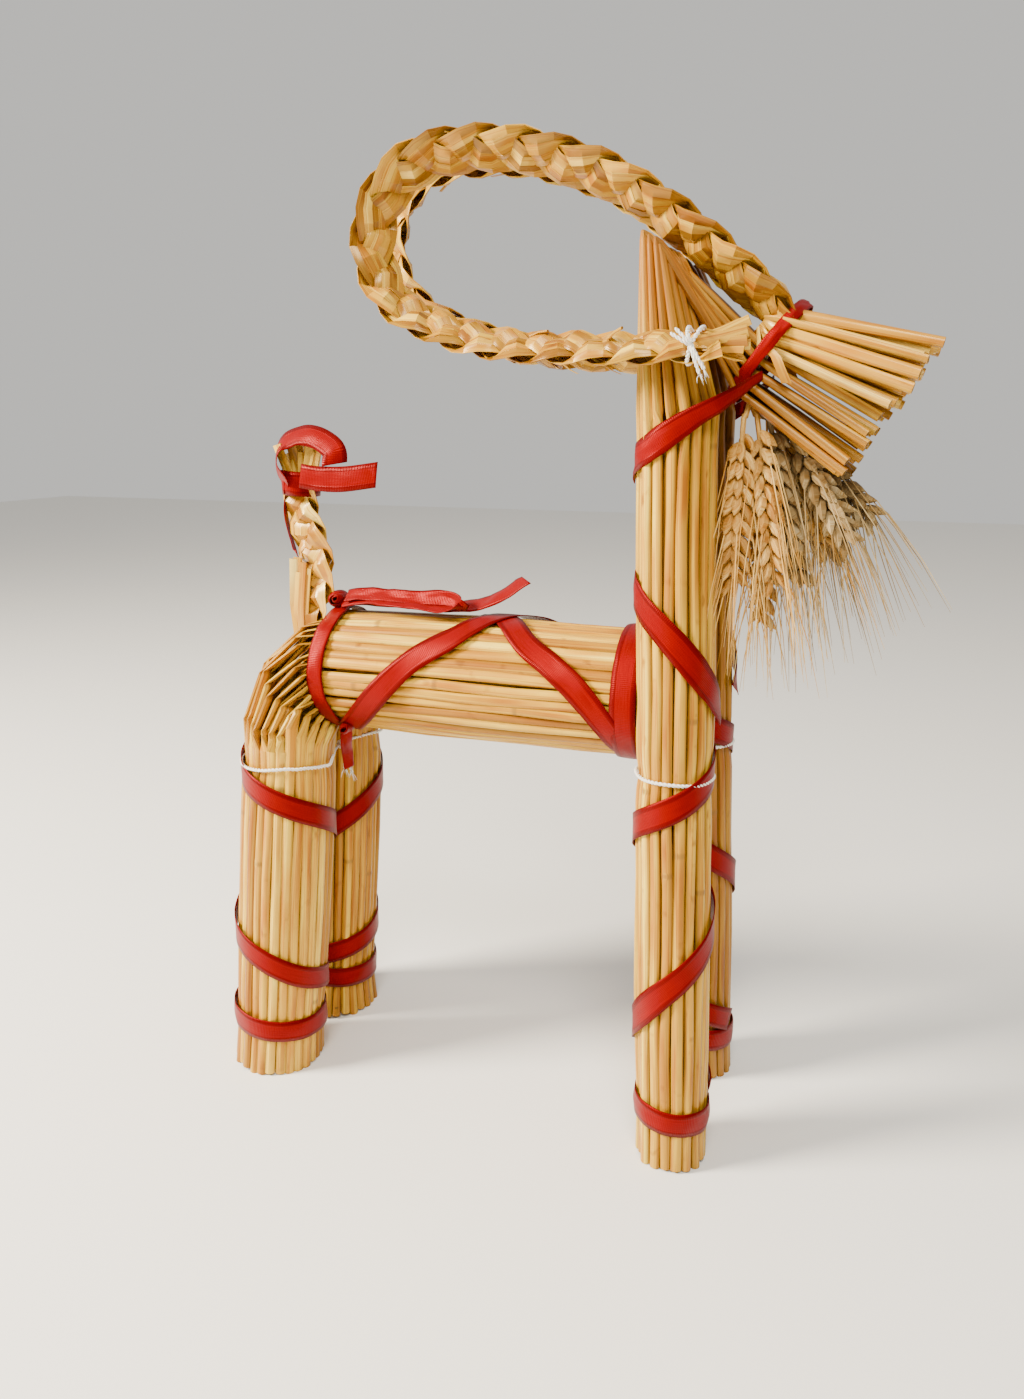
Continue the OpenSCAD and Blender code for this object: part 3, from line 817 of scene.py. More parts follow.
# %% A hind stalk
def hind_stalk(bm, rng, line, foot, leg, side_name, layer, sides):
    side = SIDES[side_name]
    axis, axis_up, ring = leg
    offset = line[0] - foot
    offset.z = 0
    angle = math.degrees(math.atan2(side * offset.y, offset.x)) % 360
    offset = offset * (layer * (ring + rng.uniform(-0.5, 0.35)) / ring)
    radius = rng.uniform(1.95, 2.3) if layer == 1 else 2.0
    joints = joint_heights(rng, HIND_TOP_Z)
    seed = rng.uniform(0, 900)
    heel = rng.uniform(0, 2.2) if rng.random() < 0.7 else 0
    tangent = sideways(offset).normalized()

    def at(z):
        return axis(z) + offset * hind_waist(z, FLARE[side_name]) + wander(seed, z, 0.7)

    y_body, z_body = half_outline(angle)
    u_body = z_body - HIND_TOP_Z - (0 if layer == 1 else 4)
    u_leg = (BODY_REAR - (axis(HIND_TOP_Z) + offset).x) / SQUEEZE
    y_body = side * y_body * (1 if layer == 1 else 0.8)
    outer = u_body > 19
    # An inner stalk stands straight up to the mitre; an outer one starts to turn at the body's underside.
    top_z = HIND_TOP_Z if outer else min(HIND_TOP_Z + max(0, u_body - 5), HIND_TOP_Z + 14)
    sole = at(heel) - Vector((0, 0, at(heel).z - heel))
    stations = open_end(sole, axis_up, radius, 0.25, tangent)
    for z in spaced(top_z - 4, joints, 20, HIND_MARKS):
        if z > heel + 1.5:
            press = 0.12 + 0.2 * bell(z, HIND_STRING_Z, 3) + 0.5 * bell(z, top_z, 14)
            stations.append(Station(at(z), radius * swell(z, joints), press, shade(z, joints),
                                    across=tangent))
    start = at(top_z - 3)
    corners = (arc_creases if outer else mitre_creases)(rng, start, u_body, u_leg, y_body)
    under_hoop = Vector((HOOP_X - 2, y_body * 0.95, lerp(BODY_Z, z_body, 0.95)))
    inside = Vector((BODY_REAR + 4, y_body * 0.86, lerp(BODY_Z, z_body, 0.86)))
    corners = [c for c in corners if c.x < under_hoop.x - 2.5] or [corners[0]]
    stations += creased([start] + corners + [under_hoop, inside], radius)
    lay(bm, stations, sides, rng.random(), gap_shade=0.3)


# %% Build the hind bundles
def hind_bundle(side_name):
    side = SIDES[side_name]
    rng = random.Random(31 + side)
    random.seed(41 + side)
    lines = hind_lines[side_name]
    foot = middle_foot(lines)
    axis_up = (middle_top(lines) - foot).normalized()

    def axis(z):
        return foot + axis_up * ((z - foot.z) / axis_up.z)

    leg = (axis, axis_up, (lines[0][0] - foot).length)
    bm = start_piece()
    for layer, sides in ((1.0, 10), (0.8, 7)):
        for line in lines:
            hind_stalk(bm, rng, line, foot, leg, side_name, layer, sides)
    for circle, count in ((0.6, 16), (0.36, 10), (0.1, 3)):
        heights = (12, 60, 120, HIND_TOP_Z + 8 * circle)
        for k in range(count):
            angle = 2 * math.pi * k / count + circle
            packed_stalk(bm, rng, leg, angle, circle, hind_waist, heights, 2.5)
    nodes = [f"{side_name}_{part}" for part in ("hind_stalks", "hind_core", "rump_stalks")]
    return finish_piece(bm, f"{side_name}_hind_bundle", rye_stalk, nodes, 38)


hind_bundles = [hind_bundle(name) for name in SIDES]

# %% [markdown]
# ## Routes as smooth curves
# Braids, strings and ribbons all follow a smooth route. A Catmull-Rom curve passes through every
# point of a short list and is then cut into even steps.

# %% Smooth routes
def smooth(points, steps):
    points = [Vector(p) for p in points]
    out = []
    for i in range(len(points) - 1):
        a, b = points[max(i - 1, 0)], points[i]
        c, d = points[i + 1], points[min(i + 2, len(points) - 1)]
        for k in range(steps):
            t = k / steps
            out.append(0.5 * (2 * b + (c - a) * t + (2 * a - 5 * b + 4 * c - d) * t * t
                              + (3 * b - a - 3 * c + d) * t ** 3))
    return out + [points[-1]]


def even(points, count):
    """count points at equal distances along a dense polyline, and its length."""
    marks = [0.0]
    for a, b in zip(points, points[1:]):
        marks.append(marks[-1] + (b - a).length)
    out, i = [], 0
    for k in range(count):
        s = marks[-1] * k / (count - 1)
        while i < len(marks) - 2 and marks[i + 1] < s:
            i += 1
        out.append(lerp(points[i], points[i + 1], (s - marks[i]) / max(marks[i + 1] - marks[i], 1e-9)))
    return out, marks[-1]


quarter, quarter_length = even(smooth([(10, 0, 0), (7.07, 7.07, 0), (0, 10, 0)], 8), 5)
print(f"a quarter circle of radius 10 through three points is {quarter_length:.2f} mm long, not 15.71")

# %% [markdown]
# ## Plaits
# Each horn is a three-strand plait of pressed straw, four flat straws to a strand. A
# strand crosses the plait in a straight slant, is folded round the edge and slants back, passing
# over one strand and under the next. A sine across the plait and a sine of twice the pitch through
# its thickness give exactly that. Few stations a turn leave the facets and sharp folds of real
# pressed straw, where a smooth curve would look like rope.

# %% The plait
FOLDS = 11
STRAW_HALF_THICK = 0.32


def plait_frames(line, outward, roll):
    """At each point: where the plait heads, which way its face looks and which way it is wide."""
    frames = []
    for i in range(len(line)):
        heading = (line[min(i + 1, len(line) - 1)] - line[max(i - 1, 0)]).normalized()
        face = (Y * outward - heading * heading.dot(Y * outward)).normalized()
        face = Matrix.Rotation(roll, 3, heading) @ face
        frames.append((heading, face, heading.cross(face)))
    return frames


def plait(bm, rng, route, pitch, swing, lift, width, straws, outward, roll, puff, taper=(1, 1, 1)):
    """A three-strand plait of flat straws; taper is its size at the start, further on and at the end."""
    rough_line, length = even(smooth(route, 8), 400)
    rings = round(length / pitch * FOLDS)
    line, _ = even(rough_line, rings + 1)
    frames = plait_frames(line, outward, roll)
    opening, full, last = taper
    sizes = [lerp(full, last, i / rings) * min(1, opening + 9 * i / rings) for i in range(rings + 1)]
    for strand in range(3):
        for straw in range(straws):
            lane = (straw - (straws - 1) / 2) / straws
            tone = rng.random()
            wobble = rng.uniform(0, 900)
            stations = []
            for i, (heading, face, wide) in enumerate(frames):
                size = sizes[i]
                phase = 2 * math.pi * (length * (i / rings) / pitch + strand / 3)
                across, slope, over = math.sin(phase), math.cos(phase), -math.sin(2 * phase)
                strand_wide = (wide - heading * (swing * 2 * math.pi / pitch) * slope).normalized()
                strand_face = heading.cross(strand_wide)
                strand_face = strand_face if strand_face.dot(face) > 0 else -strand_face
                drift = noise.noise(Vector((wobble, i * 0.21, 0)))
                # A strand is puffed up where it shows and its outer straws tip away from its ridge.
                tilt = lane * 1.7 * over + 0.3 * drift
                ridge = strand_wide * math.cos(tilt) - strand_face * math.sin(tilt)
                place = (line[i] + wide * (swing * size * across) + face * (lift * size * over)
                         + strand_wide * (lane * width * size)
                         + face * (puff * size * over * (math.cos(math.pi * lane) - 0.5) + 0.4 * drift))
                # Only where a strand lies on top are the gaps between its straws painted with shade; where
                # it lies under, a negative cut number cancels it.
                stations.append(Station(place, width * size / straws * 0.64 * (1 + 0.12 * drift), 0, 0,
                                        -0.3 * (1 - max(0, over)), ridge, STRAW_HALF_THICK))
            lay(bm, stations, 6, tone, gap_shade=0.3)
    # A slim heart of short ends fills the middle of the plait, painted darker as shade.
    heart = [Station(place, swing * size * 0.7, 0, 0, 0.4, wide, lift * size * 0.3)
             for place, size, (_, _, wide) in zip(line, sizes, frames)]
    lay(bm, heart, 10, 0.2)
    print(f"  plait is {length:.0f} mm long and repeats every {pitch} mm")


def flat_straw(bm, rng, path, half_width, across, tone=None, half_thick=0.55):
    """A pressed straw along a few points, cut square at both ends."""
    points = [Vector(p) for p in path]
    wide = Vector(across).normalized()
    stations = [Station(p, half_width, 0, 0, 0, wide, half_thick) for p in points]
    first = Station(points[0], half_width * 0.8, 0, 0, 0.7, wide, half_thick * 0.5)
    last = Station(points[-1], half_width * 0.8, 0, 0, 0.7, wide, half_thick * 0.5)
    lay(bm, [first] + stations + [last], 6, rng.random() if tone is None else tone)


# %% [markdown]
# ## Horns
# A horn starts in the muzzle's tie, rises over the nape in a wide loop and comes back to the neck.
# The plait leans over, so that its outer row of lobes looks outward and hides the inner row. Its
# lower end is not plaited: past the string the flat ends splay like a fish's tail.

# %% Build the horns
HORN = [(92, 8, 325.5), (86, 8, 332.5), (79, 9, 339), (70, 9, 346.5), (58.5, 10, 356.5),
        (44, 10, 367), (28, 10, 377), (8, 10, 385), (-12, 10, 390), (-34, 10, 391), (-50, 10, 388),
        (-62, 10, 379), (-68, 11, 365), (-66, 12, 350), (-56, 14, 337), (-40, 17, 329), (-20, 21, 323),
        (0, 26, 320), (20, 31, 319), (40, 35, 318), (60, 38, 318), (74, 39, 318)]
HORN_ROLL = math.radians(48)
HORN_PITCH = 47
HORN_SWING, HORN_LIFT, HORN_PUFF = 4.4, 3.1, 2.6
HORN_STRAND_WIDE = 13.5
HORN_TAPER = (0.6, 1.0, 0.74)


def fish_tail(bm, rng, end, side):
    """The unplaited lower end of a horn."""
    for k in range(15):
        splay = -1 + 2 * (k % 8) / 7 + rng.uniform(-0.1, 0.1)
        low = end + Vector((-8, side * rng.uniform(-2.5, 2.5), 2.2 * splay))
        high = end + Vector((rng.uniform(5, 9), side * rng.uniform(-3, 3.5), 6.8 * splay + 1.5))
        middle = lerp(low, high, 0.5) + Vector((0, 0, -0.6 * splay))
        flat_straw(bm, rng, [low, middle, high], rng.uniform(1.6, 2.4),
                   (-0.4 * splay, rng.uniform(-0.7, 0.7), 1))


def joined_in_straws(bm, rng, route, side):
    """Here and there a straw has been joined in and its end sticks out of the plait."""
    line, _ = even(smooth(route, 6), 90)
    for _ in range(16):
        i = rng.randrange(6, 84)
        heading = (line[i + 1] - line[i]).normalized()
        away = heading.cross(Y) * rng.choice((-1, -1, 1)) + Y * side * rng.uniform(-0.2, 0.8)
        away = away.normalized()
        low = line[i] + away * 3.5
        high = low + heading * rng.uniform(5, 9) + away * rng.uniform(2.0, 4.5)
        middle = lerp(low, high, 0.5) + away * 0.5
        flat_straw(bm, rng, [low, middle, high], rng.uniform(0.8, 1.6), heading.cross(away))


def horn(side_name):
    side = SIDES[side_name]
    rng = random.Random(51 + side)
    random.seed(52 + side)
    bm = start_piece()
    route = [(x, side * y, z) for x, y, z in HORN]
    plait(bm, rng, route, HORN_PITCH, HORN_SWING, HORN_LIFT, HORN_STRAND_WIDE, 4, side, HORN_ROLL * side,
          HORN_PUFF, HORN_TAPER)
    fish_tail(bm, rng, Vector(route[-1]), side)
    joined_in_straws(bm, rng, route, side)
    return finish_piece(bm, f"{side_name}_horn", braid_straw, [f"{side_name}_horn_braid"],
                        31)


horns = [horn(name) for name in SIDES]

# %% [markdown]
# ## Muzzle top
# Above the creased stalks, the muzzle is filled with the straws that the horns begin as. They are
# left round where they stick out, paler than the stalks, and trimmed on one slanting line.

# %% Build the loose straws of the muzzle
def muzzle_top(side_name):
    side = SIDES[side_name]
    rng = random.Random(61 + side)
    random.seed(62 + side)
    bm = start_piece()
    root = Vector((HORN[0][0], side * HORN[0][1], HORN[0][2]))
    for row in range(5, FAN_ROWS):
        for column in range(4):
            if column == 3 and row == FAN_ROWS - 1:
                continue
            radius = rng.uniform(1.7, 2.4)
            press = rng.choice((0.1, 0.2, 0.45, 0.8))
            squeezed = TIE + TIE_UP * (-16.6 + 3.55 * row) + Vector((0, side * (2.0 + 3.5 * column), 0))
            tip = fan_place(row, column, side, rng)
            out = (tip - squeezed).normalized()
            rear_end = lerp(squeezed, root, 0.5) - out * 8
            flat_way = Y * rng.uniform(-1, 1) + TIE_UP * rng.uniform(-1, 1) + Vector((0.01, 0, 0))
            flat_way = flat_way.normalized()
            stations = [Station(rear_end, radius * 0.7, 0.8, across=flat_way),
                        Station(squeezed - out * 3, radius * 0.9, 0.7, across=flat_way),
                        Station(squeezed + out * 3, radius * 0.95, 0.6, across=flat_way),
                        Station(lerp(squeezed, tip, 0.3), radius, 0.4 + 0.5 * press, across=flat_way),
                        Station(lerp(squeezed, tip, 0.7), radius, press, across=flat_way)]
            stations += open_end(tip, -out, radius, press, flat_way)[::-1]
            lay(bm, stations, 10, rng.random())
    # One straw end was folded back over the ribbon and trimmed to a stub.
    stub = TIE + TIE_FORWARD * 5 + TIE_UP * 1 + Vector((0, side * 17.5, 0))
    steps = ((-2.5, -1, 2.5), (0, 0, 0), (2.2, 0.8, -4.5), (4.4, 1.2, -9))
    fold = [stub + Vector((x, side * y, z)) for x, y, z in steps]
    flat_straw(bm, rng, fold, 2.0, (0.9, 0, 0.44), tone=0.4)
    return finish_piece(bm, f"{side_name}_muzzle_top", pale_straw, [f"{side_name}_horn_ends"],
                        50)


muzzle_tops = [muzzle_top(name) for name in SIDES]

# %% [markdown]
# ## Tail
# The tail is a short, coarse plait of wide flattened straws. Its lower end is pushed between the
# two halves of the rump, its top is tied with ribbon, and the cut ends stand up as a tuft.

# %% Build the tail
TAIL = [(-114.2, 0, 207), (-109.2, 0, 217), (-106.1, 0, 229), (-107.8, 0, 241), (-112.5, 0, 254),
        (-113.0, 0, 269)]
TAIL_PITCH = 36
TAIL_SWING, TAIL_LIFT, TAIL_PUFF = 4.3, 3.0, 1.6
TAIL_STRAND_WIDE = 13.0
TAIL_ROLL = -0.35


def tail():
    rng = random.Random(71)
    random.seed(72)
    bm = start_piece()
    plait(bm, rng, TAIL, TAIL_PITCH, TAIL_SWING, TAIL_LIFT, TAIL_STRAND_WIDE, 3, -1, TAIL_ROLL, TAIL_PUFF)
    root, top = Vector(TAIL[0]), Vector(TAIL[-1])
    # The unplaited lower ends, gathered to a wedge.
    for _ in range(10):
        lean = rng.uniform(-1, 1)
        low = root + Vector((1.0 * lean + 0.5, rng.uniform(-6, 1), -9 - rng.uniform(0, 5)))
        high = root + Vector((2.5 + 3.5 * lean, rng.uniform(-6, 0), 19 + rng.uniform(0, 10)))
        flat_straw(bm, rng, [low, lerp(low, high, 0.45) + Vector((-1 + 1.2 * lean, -0.6, 0)), high],
                   rng.uniform(1.7, 2.6), (1, rng.uniform(-0.5, 0.5), 0))
    piece = finish_piece(bm, "tail", pale_straw, ["tail_braid"], 42)
    tuft = start_piece()
    for k in range(9):
        splay = -0.45 + 1.2 * (k + rng.uniform(-0.3, 0.3)) / 8
        low = top + Vector((5 * splay, rng.uniform(-3, 3), -6))
        high = low + Vector((splay * 11, rng.uniform(-4.5, 2.5), rng.uniform(17, 24)))
        flat_straw(tuft, rng, [low, lerp(low, high, 0.5) + Vector((0.6, 0, 0)), high], rng.uniform(1.9, 2.9),
                   (1, rng.uniform(-0.7, 0.7), -splay), half_thick=0.9)
    cut_ends = finish_piece(tuft, "tail_tuft_straws", pale_straw, ["tail_tuft"], 24)
    return [piece, cut_ends]


tail_pieces = tail()

# %% [markdown]
# ## Red satin ribbon
# Satin is woven so that its threads float along the length. The face is smooth, shows the fine
# threads as a lengthwise shimmer, painted into its colour as sheen and raised as a bump, and
# reflects light most across them. The two edges are woven denser so that they do not fray. U runs
# across the ribbon and V along it, both in millimetres.

# %% Ribbon material
# The darker woven edge starts this far from the ribbon's middle and is full a little further out.
EDGE_FROM, EDGE_FULL = 2.9, 3.15


def satin(name, code, dark):
    material, tree, shader = new_material(name)
    uv = add(tree, "ShaderNodeUVMap", uv_map="UVMap").outputs["UV"]
    u = add(tree, "ShaderNodeSeparateXYZ", {0: uv}).outputs["X"]
    thread = add(tree, "ShaderNodeMapping", {"Vector": uv, "Scale": (3.2, 0.09, 1)})
    floats = add(tree, "ShaderNodeTexNoise", {"Vector": thread.outputs[0], "Scale": 1.0, "Detail": 2})
    ribs = add(tree, "ShaderNodeTexWave", {"Vector": uv, "Scale": 0.42, "Distortion": 0.4},
               bands_direction="Y")
    edge = add(tree, "ShaderNodeMath", {0: u}, operation="ABSOLUTE").outputs[0]
    selvedge = add(tree, "ShaderNodeMapRange", {0: edge, 1: EDGE_FROM, 2: EDGE_FULL}).outputs[0]
    # The floats' streaks of darker and brighter red are painted sheen.
    base = mixed(tree, floats.outputs["Fac"], linear(dark), linear(code))
    base = mixed(tree, selvedge, base, linear(dark))
    height = add(tree, "ShaderNodeMath", {0: floats.outputs["Fac"], 1: ribs.outputs["Fac"]}, operation="ADD")
    raised = add(tree, "ShaderNodeMath", {0: height.outputs[0], 1: selvedge}, operation="ADD")
    bump = add(tree, "ShaderNodeBump", {"Height": raised.outputs[0], "Strength": 0.28, "Distance": 0.0002})
    tree.links.new(base, shader.inputs["Base Color"])
    tree.links.new(bump.outputs["Normal"], shader.inputs["Normal"])
    shader.inputs["Roughness"].default_value = 0.36
    shader.inputs["Anisotropic"].default_value = 0.5
    shader.inputs["Specular IOR Level"].default_value = 0.5
    # The fibres are dyed right through and translucent, so even their gloss is tinted.
    shader.inputs["Specular Tint"].default_value = linear("#ff2418")
    return material


# Polyester satin ribbon, 10 mm wide, woven and dyed a Christmas red.
red_satin = satin("red_satin_ribbon", "#840002", "#560001")

# %% [markdown]
# ## Laying a ribbon
# A ribbon is a flat grid laid along its route: each row of the grid sits across the route, square
# to the surface it lies on. The edges are pulled in a little, a slow noise makes it ripple, and
# Solidify gives it a third of a millimetre of cloth.

# %% Ribbon helper
RIBBON_W = 10.4


def ribbon(name, samples, nodes, width=RIBBON_W, ripple=0.3, cup=0.25, slant=(0, 0), crumple=0.0,
           gathered=0):
    """A ribbon over samples of (place, outward direction), bunched up over its first gathered mm."""
    rng = random.Random(name)
    seed = rng.uniform(0, 500)
    count = len(samples) - 1
    bm = bmesh.new()
    uv = bm.loops.layers.uv.new("UVMap")
    bmesh.ops.create_grid(bm, x_segments=count, y_segments=6, size=1)
    along = [0.0]
    for (a, _), (b, _) in zip(samples, samples[1:]):
        along.append(along[-1] + (b - a).length)
    flat = {}
    for v in bm.verts:
        i, j = round((v.co.x + 1) / 2 * count), v.co.y
        place, normal = samples[i]
        heading = (samples[min(i + 1, count)][0] - samples[max(i - 1, 0)][0]).normalized()
        normal = (normal - heading * normal.dot(heading)).normalized()
        wide = heading.cross(normal)
        s = along[i]
        pull = 1 + 0.05 * noise.noise(Vector((s * 0.05, 3, seed)))
        pull -= crumple * (0.5 + 0.5 * noise.noise(Vector((s * 0.16, 7, seed))))
        if gathered:
            pull *= 1 - 0.62 * max(0, 1 - s / gathered)
        wave = ripple * noise.noise(Vector((s * 0.13, j * 0.9, seed)))
        fold = crumple * 2.2 * noise.noise(Vector((s * 0.22, j * 2.4, seed + 40)))
        cut = slant[0] * j * max(0, 1 - s / 6) + slant[1] * j * max(0, 1 - (along[-1] - s) / 6)
        v.co = (place + wide * (j * width / 2 * pull) + normal * (wave + fold - cup * j * j)
                + heading * cut) * MM
        flat[v] = (j * width / 2, s + cut)
    for face in bm.faces:
        face.smooth = True
        for loop in face.loops:
            loop[uv].uv = flat[loop.vert]
    bmesh.ops.recalc_face_normals(bm, faces=bm.faces)
    piece = finish_piece(bm, name, red_satin, nodes)
    cloth = piece.modifiers.new("cloth", "SOLIDIFY")
    cloth.thickness = 0.32 * MM
    cloth.offset = 0
    print(f"  {name} is {along[-1]:.0f} mm long")
    return piece


def round_route(route, steps, axis, radius, waist, side=1):
    """Samples round a leg from (turn, height) pairs, lying on its stalks."""
    samples = []
    for turn, z in [(p.x, p.y) for p in smooth([(t, h, 0) for t, h in route], steps)]:
        out = Vector((math.cos(math.radians(turn)), side * math.sin(math.radians(turn)), 0))
        samples.append((axis(z) + out * (radius * waist(z) + 0.95), out))
    return samples


def leg_axis(lines):
    """A leg's middle as a function of height, and its radius outside the stalks."""
    foot = middle_foot(lines)
    up = lines[0][1] - lines[0][0]
    return lambda z: foot + up * ((z - foot.z) / up.z), (lines[0][0] - foot).length + 2


# %% [markdown]
# ## Ribbons on the legs
# One ribbon winds up each leg like the stripe of a candy cane, and a short one, glued over its own
# end, hides where the winding starts.

# %% Wind the legs
FRONT_WRAP = [(-90, 175), (0, 164), (90, 151.5), (180, 137), (270, 119), (360, 101), (450, 79), (540, 54),
              (700, 30)]
HIND_WRAP = [(180, 151), (90, 138), (0, 122), (-90, 101), (-180, 77), (-270, 61), (-360, 44), (-500, 32)]


def band_samples(centre, radius, tilt, side=1):
    """A band that laps over its own beginning."""
    turns, start = 1.12, 200
    samples, count = [], 72
    for i in range(count + 1):
        t = i / count
        a = math.radians(start + 360 * turns * t)
        out = Vector((math.cos(a), side * math.sin(a), 0))
        lift = 0.4 * max(0.0, min(1.0, (t * turns - 1) / 0.02)) if t * turns > 0.98 else 0.0
        place = out * (radius + lift)
        place.z = place.x * tilt
        samples.append((centre + place, out))
    return samples


leg_ribbons = []
for side_name, side in SIDES.items():
    for part, wrap, lines, band_z, tilt, extra, waist in (
            ("front", FRONT_WRAP, front_lines[side_name], FRONT_BAND_Z, -0.10, 0.45, front_waist),
            ("hind", HIND_WRAP, hind_lines[side_name], HIND_BAND_Z, -0.13, 0.75, hind_waist)):
        axis, radius = leg_axis(lines)
        leg_ribbons.append(ribbon(f"{side_name}_{part}_leg_winding",
                                  round_route(wrap, 14, axis, radius, waist, side),
                                  [f"{side_name}_{part}_leg_ribbon"], ripple=0.15, cup=0.12))
        leg_ribbons.append(ribbon(f"{side_name}_{part}_foot_ribbon",
                                  band_samples(axis(band_z + 2), radius + extra, tilt, side=side),
                                  [f"{side_name}_{part}_foot_band"], ripple=0.4))

# %% [markdown]
# ## Ribbons on the body and the neck
# The crossed pair holds the legs on: it runs from the shoulder over the body, crosses on top and
# goes down round the rump. Two more pairs cross the neck in front and behind.

# %% Wrap the body and the neck
BODY_CROSS = [(-86, 150), (-66, 101), (-49, 66), (-33, 40), (-18, 0), (-3, -40), (10, -60), (22, -80),
              (33, -108), (42, -146)]
NECK_HIGH = [(85, -17, 309), (80, -22, 305), (72, -30.5, 299), (60, -33.5, 292), (48, -31, 284),
             (40, -22, 279), (38, -16, 275)]
NECK_LOW = [(40, -18, 236), (44, -30, 231), (57, -36.5, 220), (68, -35.5, 208), (75, -28, 196),
            (77, -20, 186)]


def body_samples(route, steps, radius, side):
    samples = []
    for p in smooth([(x, turn, 0) for x, turn in route], steps):
        a = math.radians(p.y)
        out = Vector((0, side * math.sin(a), math.cos(a)))
        samples.append((Vector((p.x, 0, BODY_Z)) + out * radius, out))
    return samples


def hoop_samples(x, radius, lean=0.0):
    samples = []
    for i in range(91):
        a = math.radians(150 + 400 * i / 90)
        out = Vector((0, math.sin(a), math.cos(a)))
        shift = lean * (1.0 if out.z < 0 else 0.3) * out.z ** 2
        samples.append((Vector((x + shift, 0, BODY_Z)) + out * (radius + (0.4 if i > 81 else 0)), out))
    return samples


body_ribbons = [
    ribbon("body_cross_over", body_samples(BODY_CROSS, 9, BODY_R + 4.0, -1), ["body_cross_ribbon_right"]),
    ribbon("body_cross_under", body_samples(BODY_CROSS, 9, BODY_R + 3.4, 1), ["body_cross_ribbon_left"]),
    ribbon("shoulder_hoop", hoop_samples(middle_of("body_front_ribbon").x, BODY_R + 3.6),
           ["body_front_ribbon"]),
    ribbon("rump_hoop", hoop_samples(HOOP_X, BODY_R + 3.3, 5.5), ["body_rear_ribbon"], 7.4, ripple=0.5),
]
for side_name, side in SIDES.items():
    axis, radius = leg_axis(front_lines[side_name])
    for label, route in (("high", NECK_HIGH), ("low", NECK_LOW)):
        line = smooth([(x, -side * y, height) for x, y, height in route], 10)
        samples = []
        for p in line:
            out = Vector((p.x - axis(p.z).x, p.y - axis(p.z).y, 0))
            snug = radius * front_waist(p.z) + 0.65
            reach = lerp(snug, max(out.length, snug), min(1, max(0, (p.x - 58) / 14)))
            samples.append((axis(p.z) + out.normalized() * reach, out.normalized()))
        body_ribbons.append(ribbon(f"{side_name}_neck_wrap_{label}", samples,
                                   [f"{side_name}_neck_ribbon_{label}"], ripple=0.5,
                                   crumple=0.12 if label == "high" else 0.03,
                                   gathered=46 if label == "high" else 0))

# %% [markdown]
# ## Muzzle ribbon, bow and tail ribbon
# Round the muzzle the same ribbon is pulled tight and crumples. On the rump it ends in a bow that
# was pressed flat by its packing, and another length is looped round the top of the tail.

# %% Tie the ribbons
BOW_LOOP = [(-92, -4, 217), (-80, -5, 219), (-60, -6, 218.5), (-42, -7, 217.5), (-34, -7, 219),
            (-42, -4, 221), (-60, -4, 220.5), (-80, -4, 220.8), (-90, -4, 219.5)]
BOW_TAIL = [(-92, 3, 217), (-70, 4, 217), (-44, 2, 217), (-24, -3, 221), (-7, -4, 231)]
TAIL_LOOP = [(-114, -8, 266), (-120, -7, 274), (-119, -5, 283), (-111, -4, 287.5), (-101, -5, 287),
             (-92, -7, 282), (-91, -8, 276)]
TAIL_HANG = [(-118, -2, 268), (-121, 0, 256), (-121, 2, 246), (-119, 2, 238), (-117, 1, 236)]
TAIL_END = [(-107, -9.5, 271), (-98, -10, 270), (-86, -10, 270), (-71, -9, 272)]


def tie_samples(extra, ahead, turns=1.1):
    """Samples round the muzzle where it is tied, from below its left side on."""
    start = 160
    half_up = (tie_high - tie_low).z / 2 / TIE_UP.z - 2.2
    half_y = (tie_high - tie_low).y / 2 - 0.6
    samples = []
    for i in range(81):
        a = math.radians(start + 360 * turns * i / 80)
        out = TIE_UP * math.cos(a) + Y * math.sin(a)
        samples.append((TIE + TIE_UP * (half_up + extra) * math.cos(a) + Y * (half_y + extra) * math.sin(a)
                        + TIE_FORWARD * ahead, out))
    return samples


def facing_samples(route, steps, *facings):
    """Samples whose facing turns evenly through the given directions."""
    line = smooth(route, steps)
    turns = [Vector(f).normalized() for f in facings]
    samples = []
    for i, p in enumerate(line):
        t = i / (len(line) - 1) * (len(turns) - 1)
        k = min(int(t), len(turns) - 2) if len(turns) > 1 else 0
        samples.append((p, lerp(turns[k], turns[min(k + 1, len(turns) - 1)], t - k).normalized()))
    return samples


muzzle_band = ribbon("muzzle_wrap", tie_samples(0.7, 0), ["muzzle_ribbon"], 5.4, 0.6, 0.35, crumple=0.25)
bow = [
    ribbon("bow_loop_ribbon",
           facing_samples(BOW_LOOP, 8, (0, -0.6, 0.8), (0, -0.3, 1), (0, 0.9, -0.4), (0, 0.6, -1)),
           ["bow_loop"], 7.6, 0.7, 0.4, crumple=0.22),
    ribbon("bow_tail_ribbon", facing_samples(BOW_TAIL, 10, (0, -0.3, 1), (0, -0.5, 1), (-0.3, -0.6, 0.7)),
           ["bow_tail"], 8.6, 0.7, 0.4, (0, 2.4), 0.12),
]
tail_ribbons = [
    ribbon("tail_loop_ribbon",
           facing_samples(TAIL_LOOP, 9, (-1, -0.5, 0), (-0.9, -0.6, 0.2), (-0.2, -0.8, 0.6),
                          (0.2, -0.9, 0.4), (0.5, -0.85, -0.2)),
           ["tail_ribbon_loop"], ripple=0.6, slant=(0, 1)),
    ribbon("tail_hanging_ribbon", facing_samples(TAIL_HANG, 9, (-0.9, -0.15, 0)), [], 4.0, ripple=0.4),
    ribbon("tail_end_ribbon", facing_samples(TAIL_END, 9, (0, -1, 0.1)), ["tail_ribbon_end"], ripple=0.5,
           slant=(0, -1.2)),
    ribbon("tail_band_ribbon", band_samples(middle_of("tail_ribbon_band"), 8.1, -0.07), ["tail_ribbon_band"],
           ripple=0.5),
]


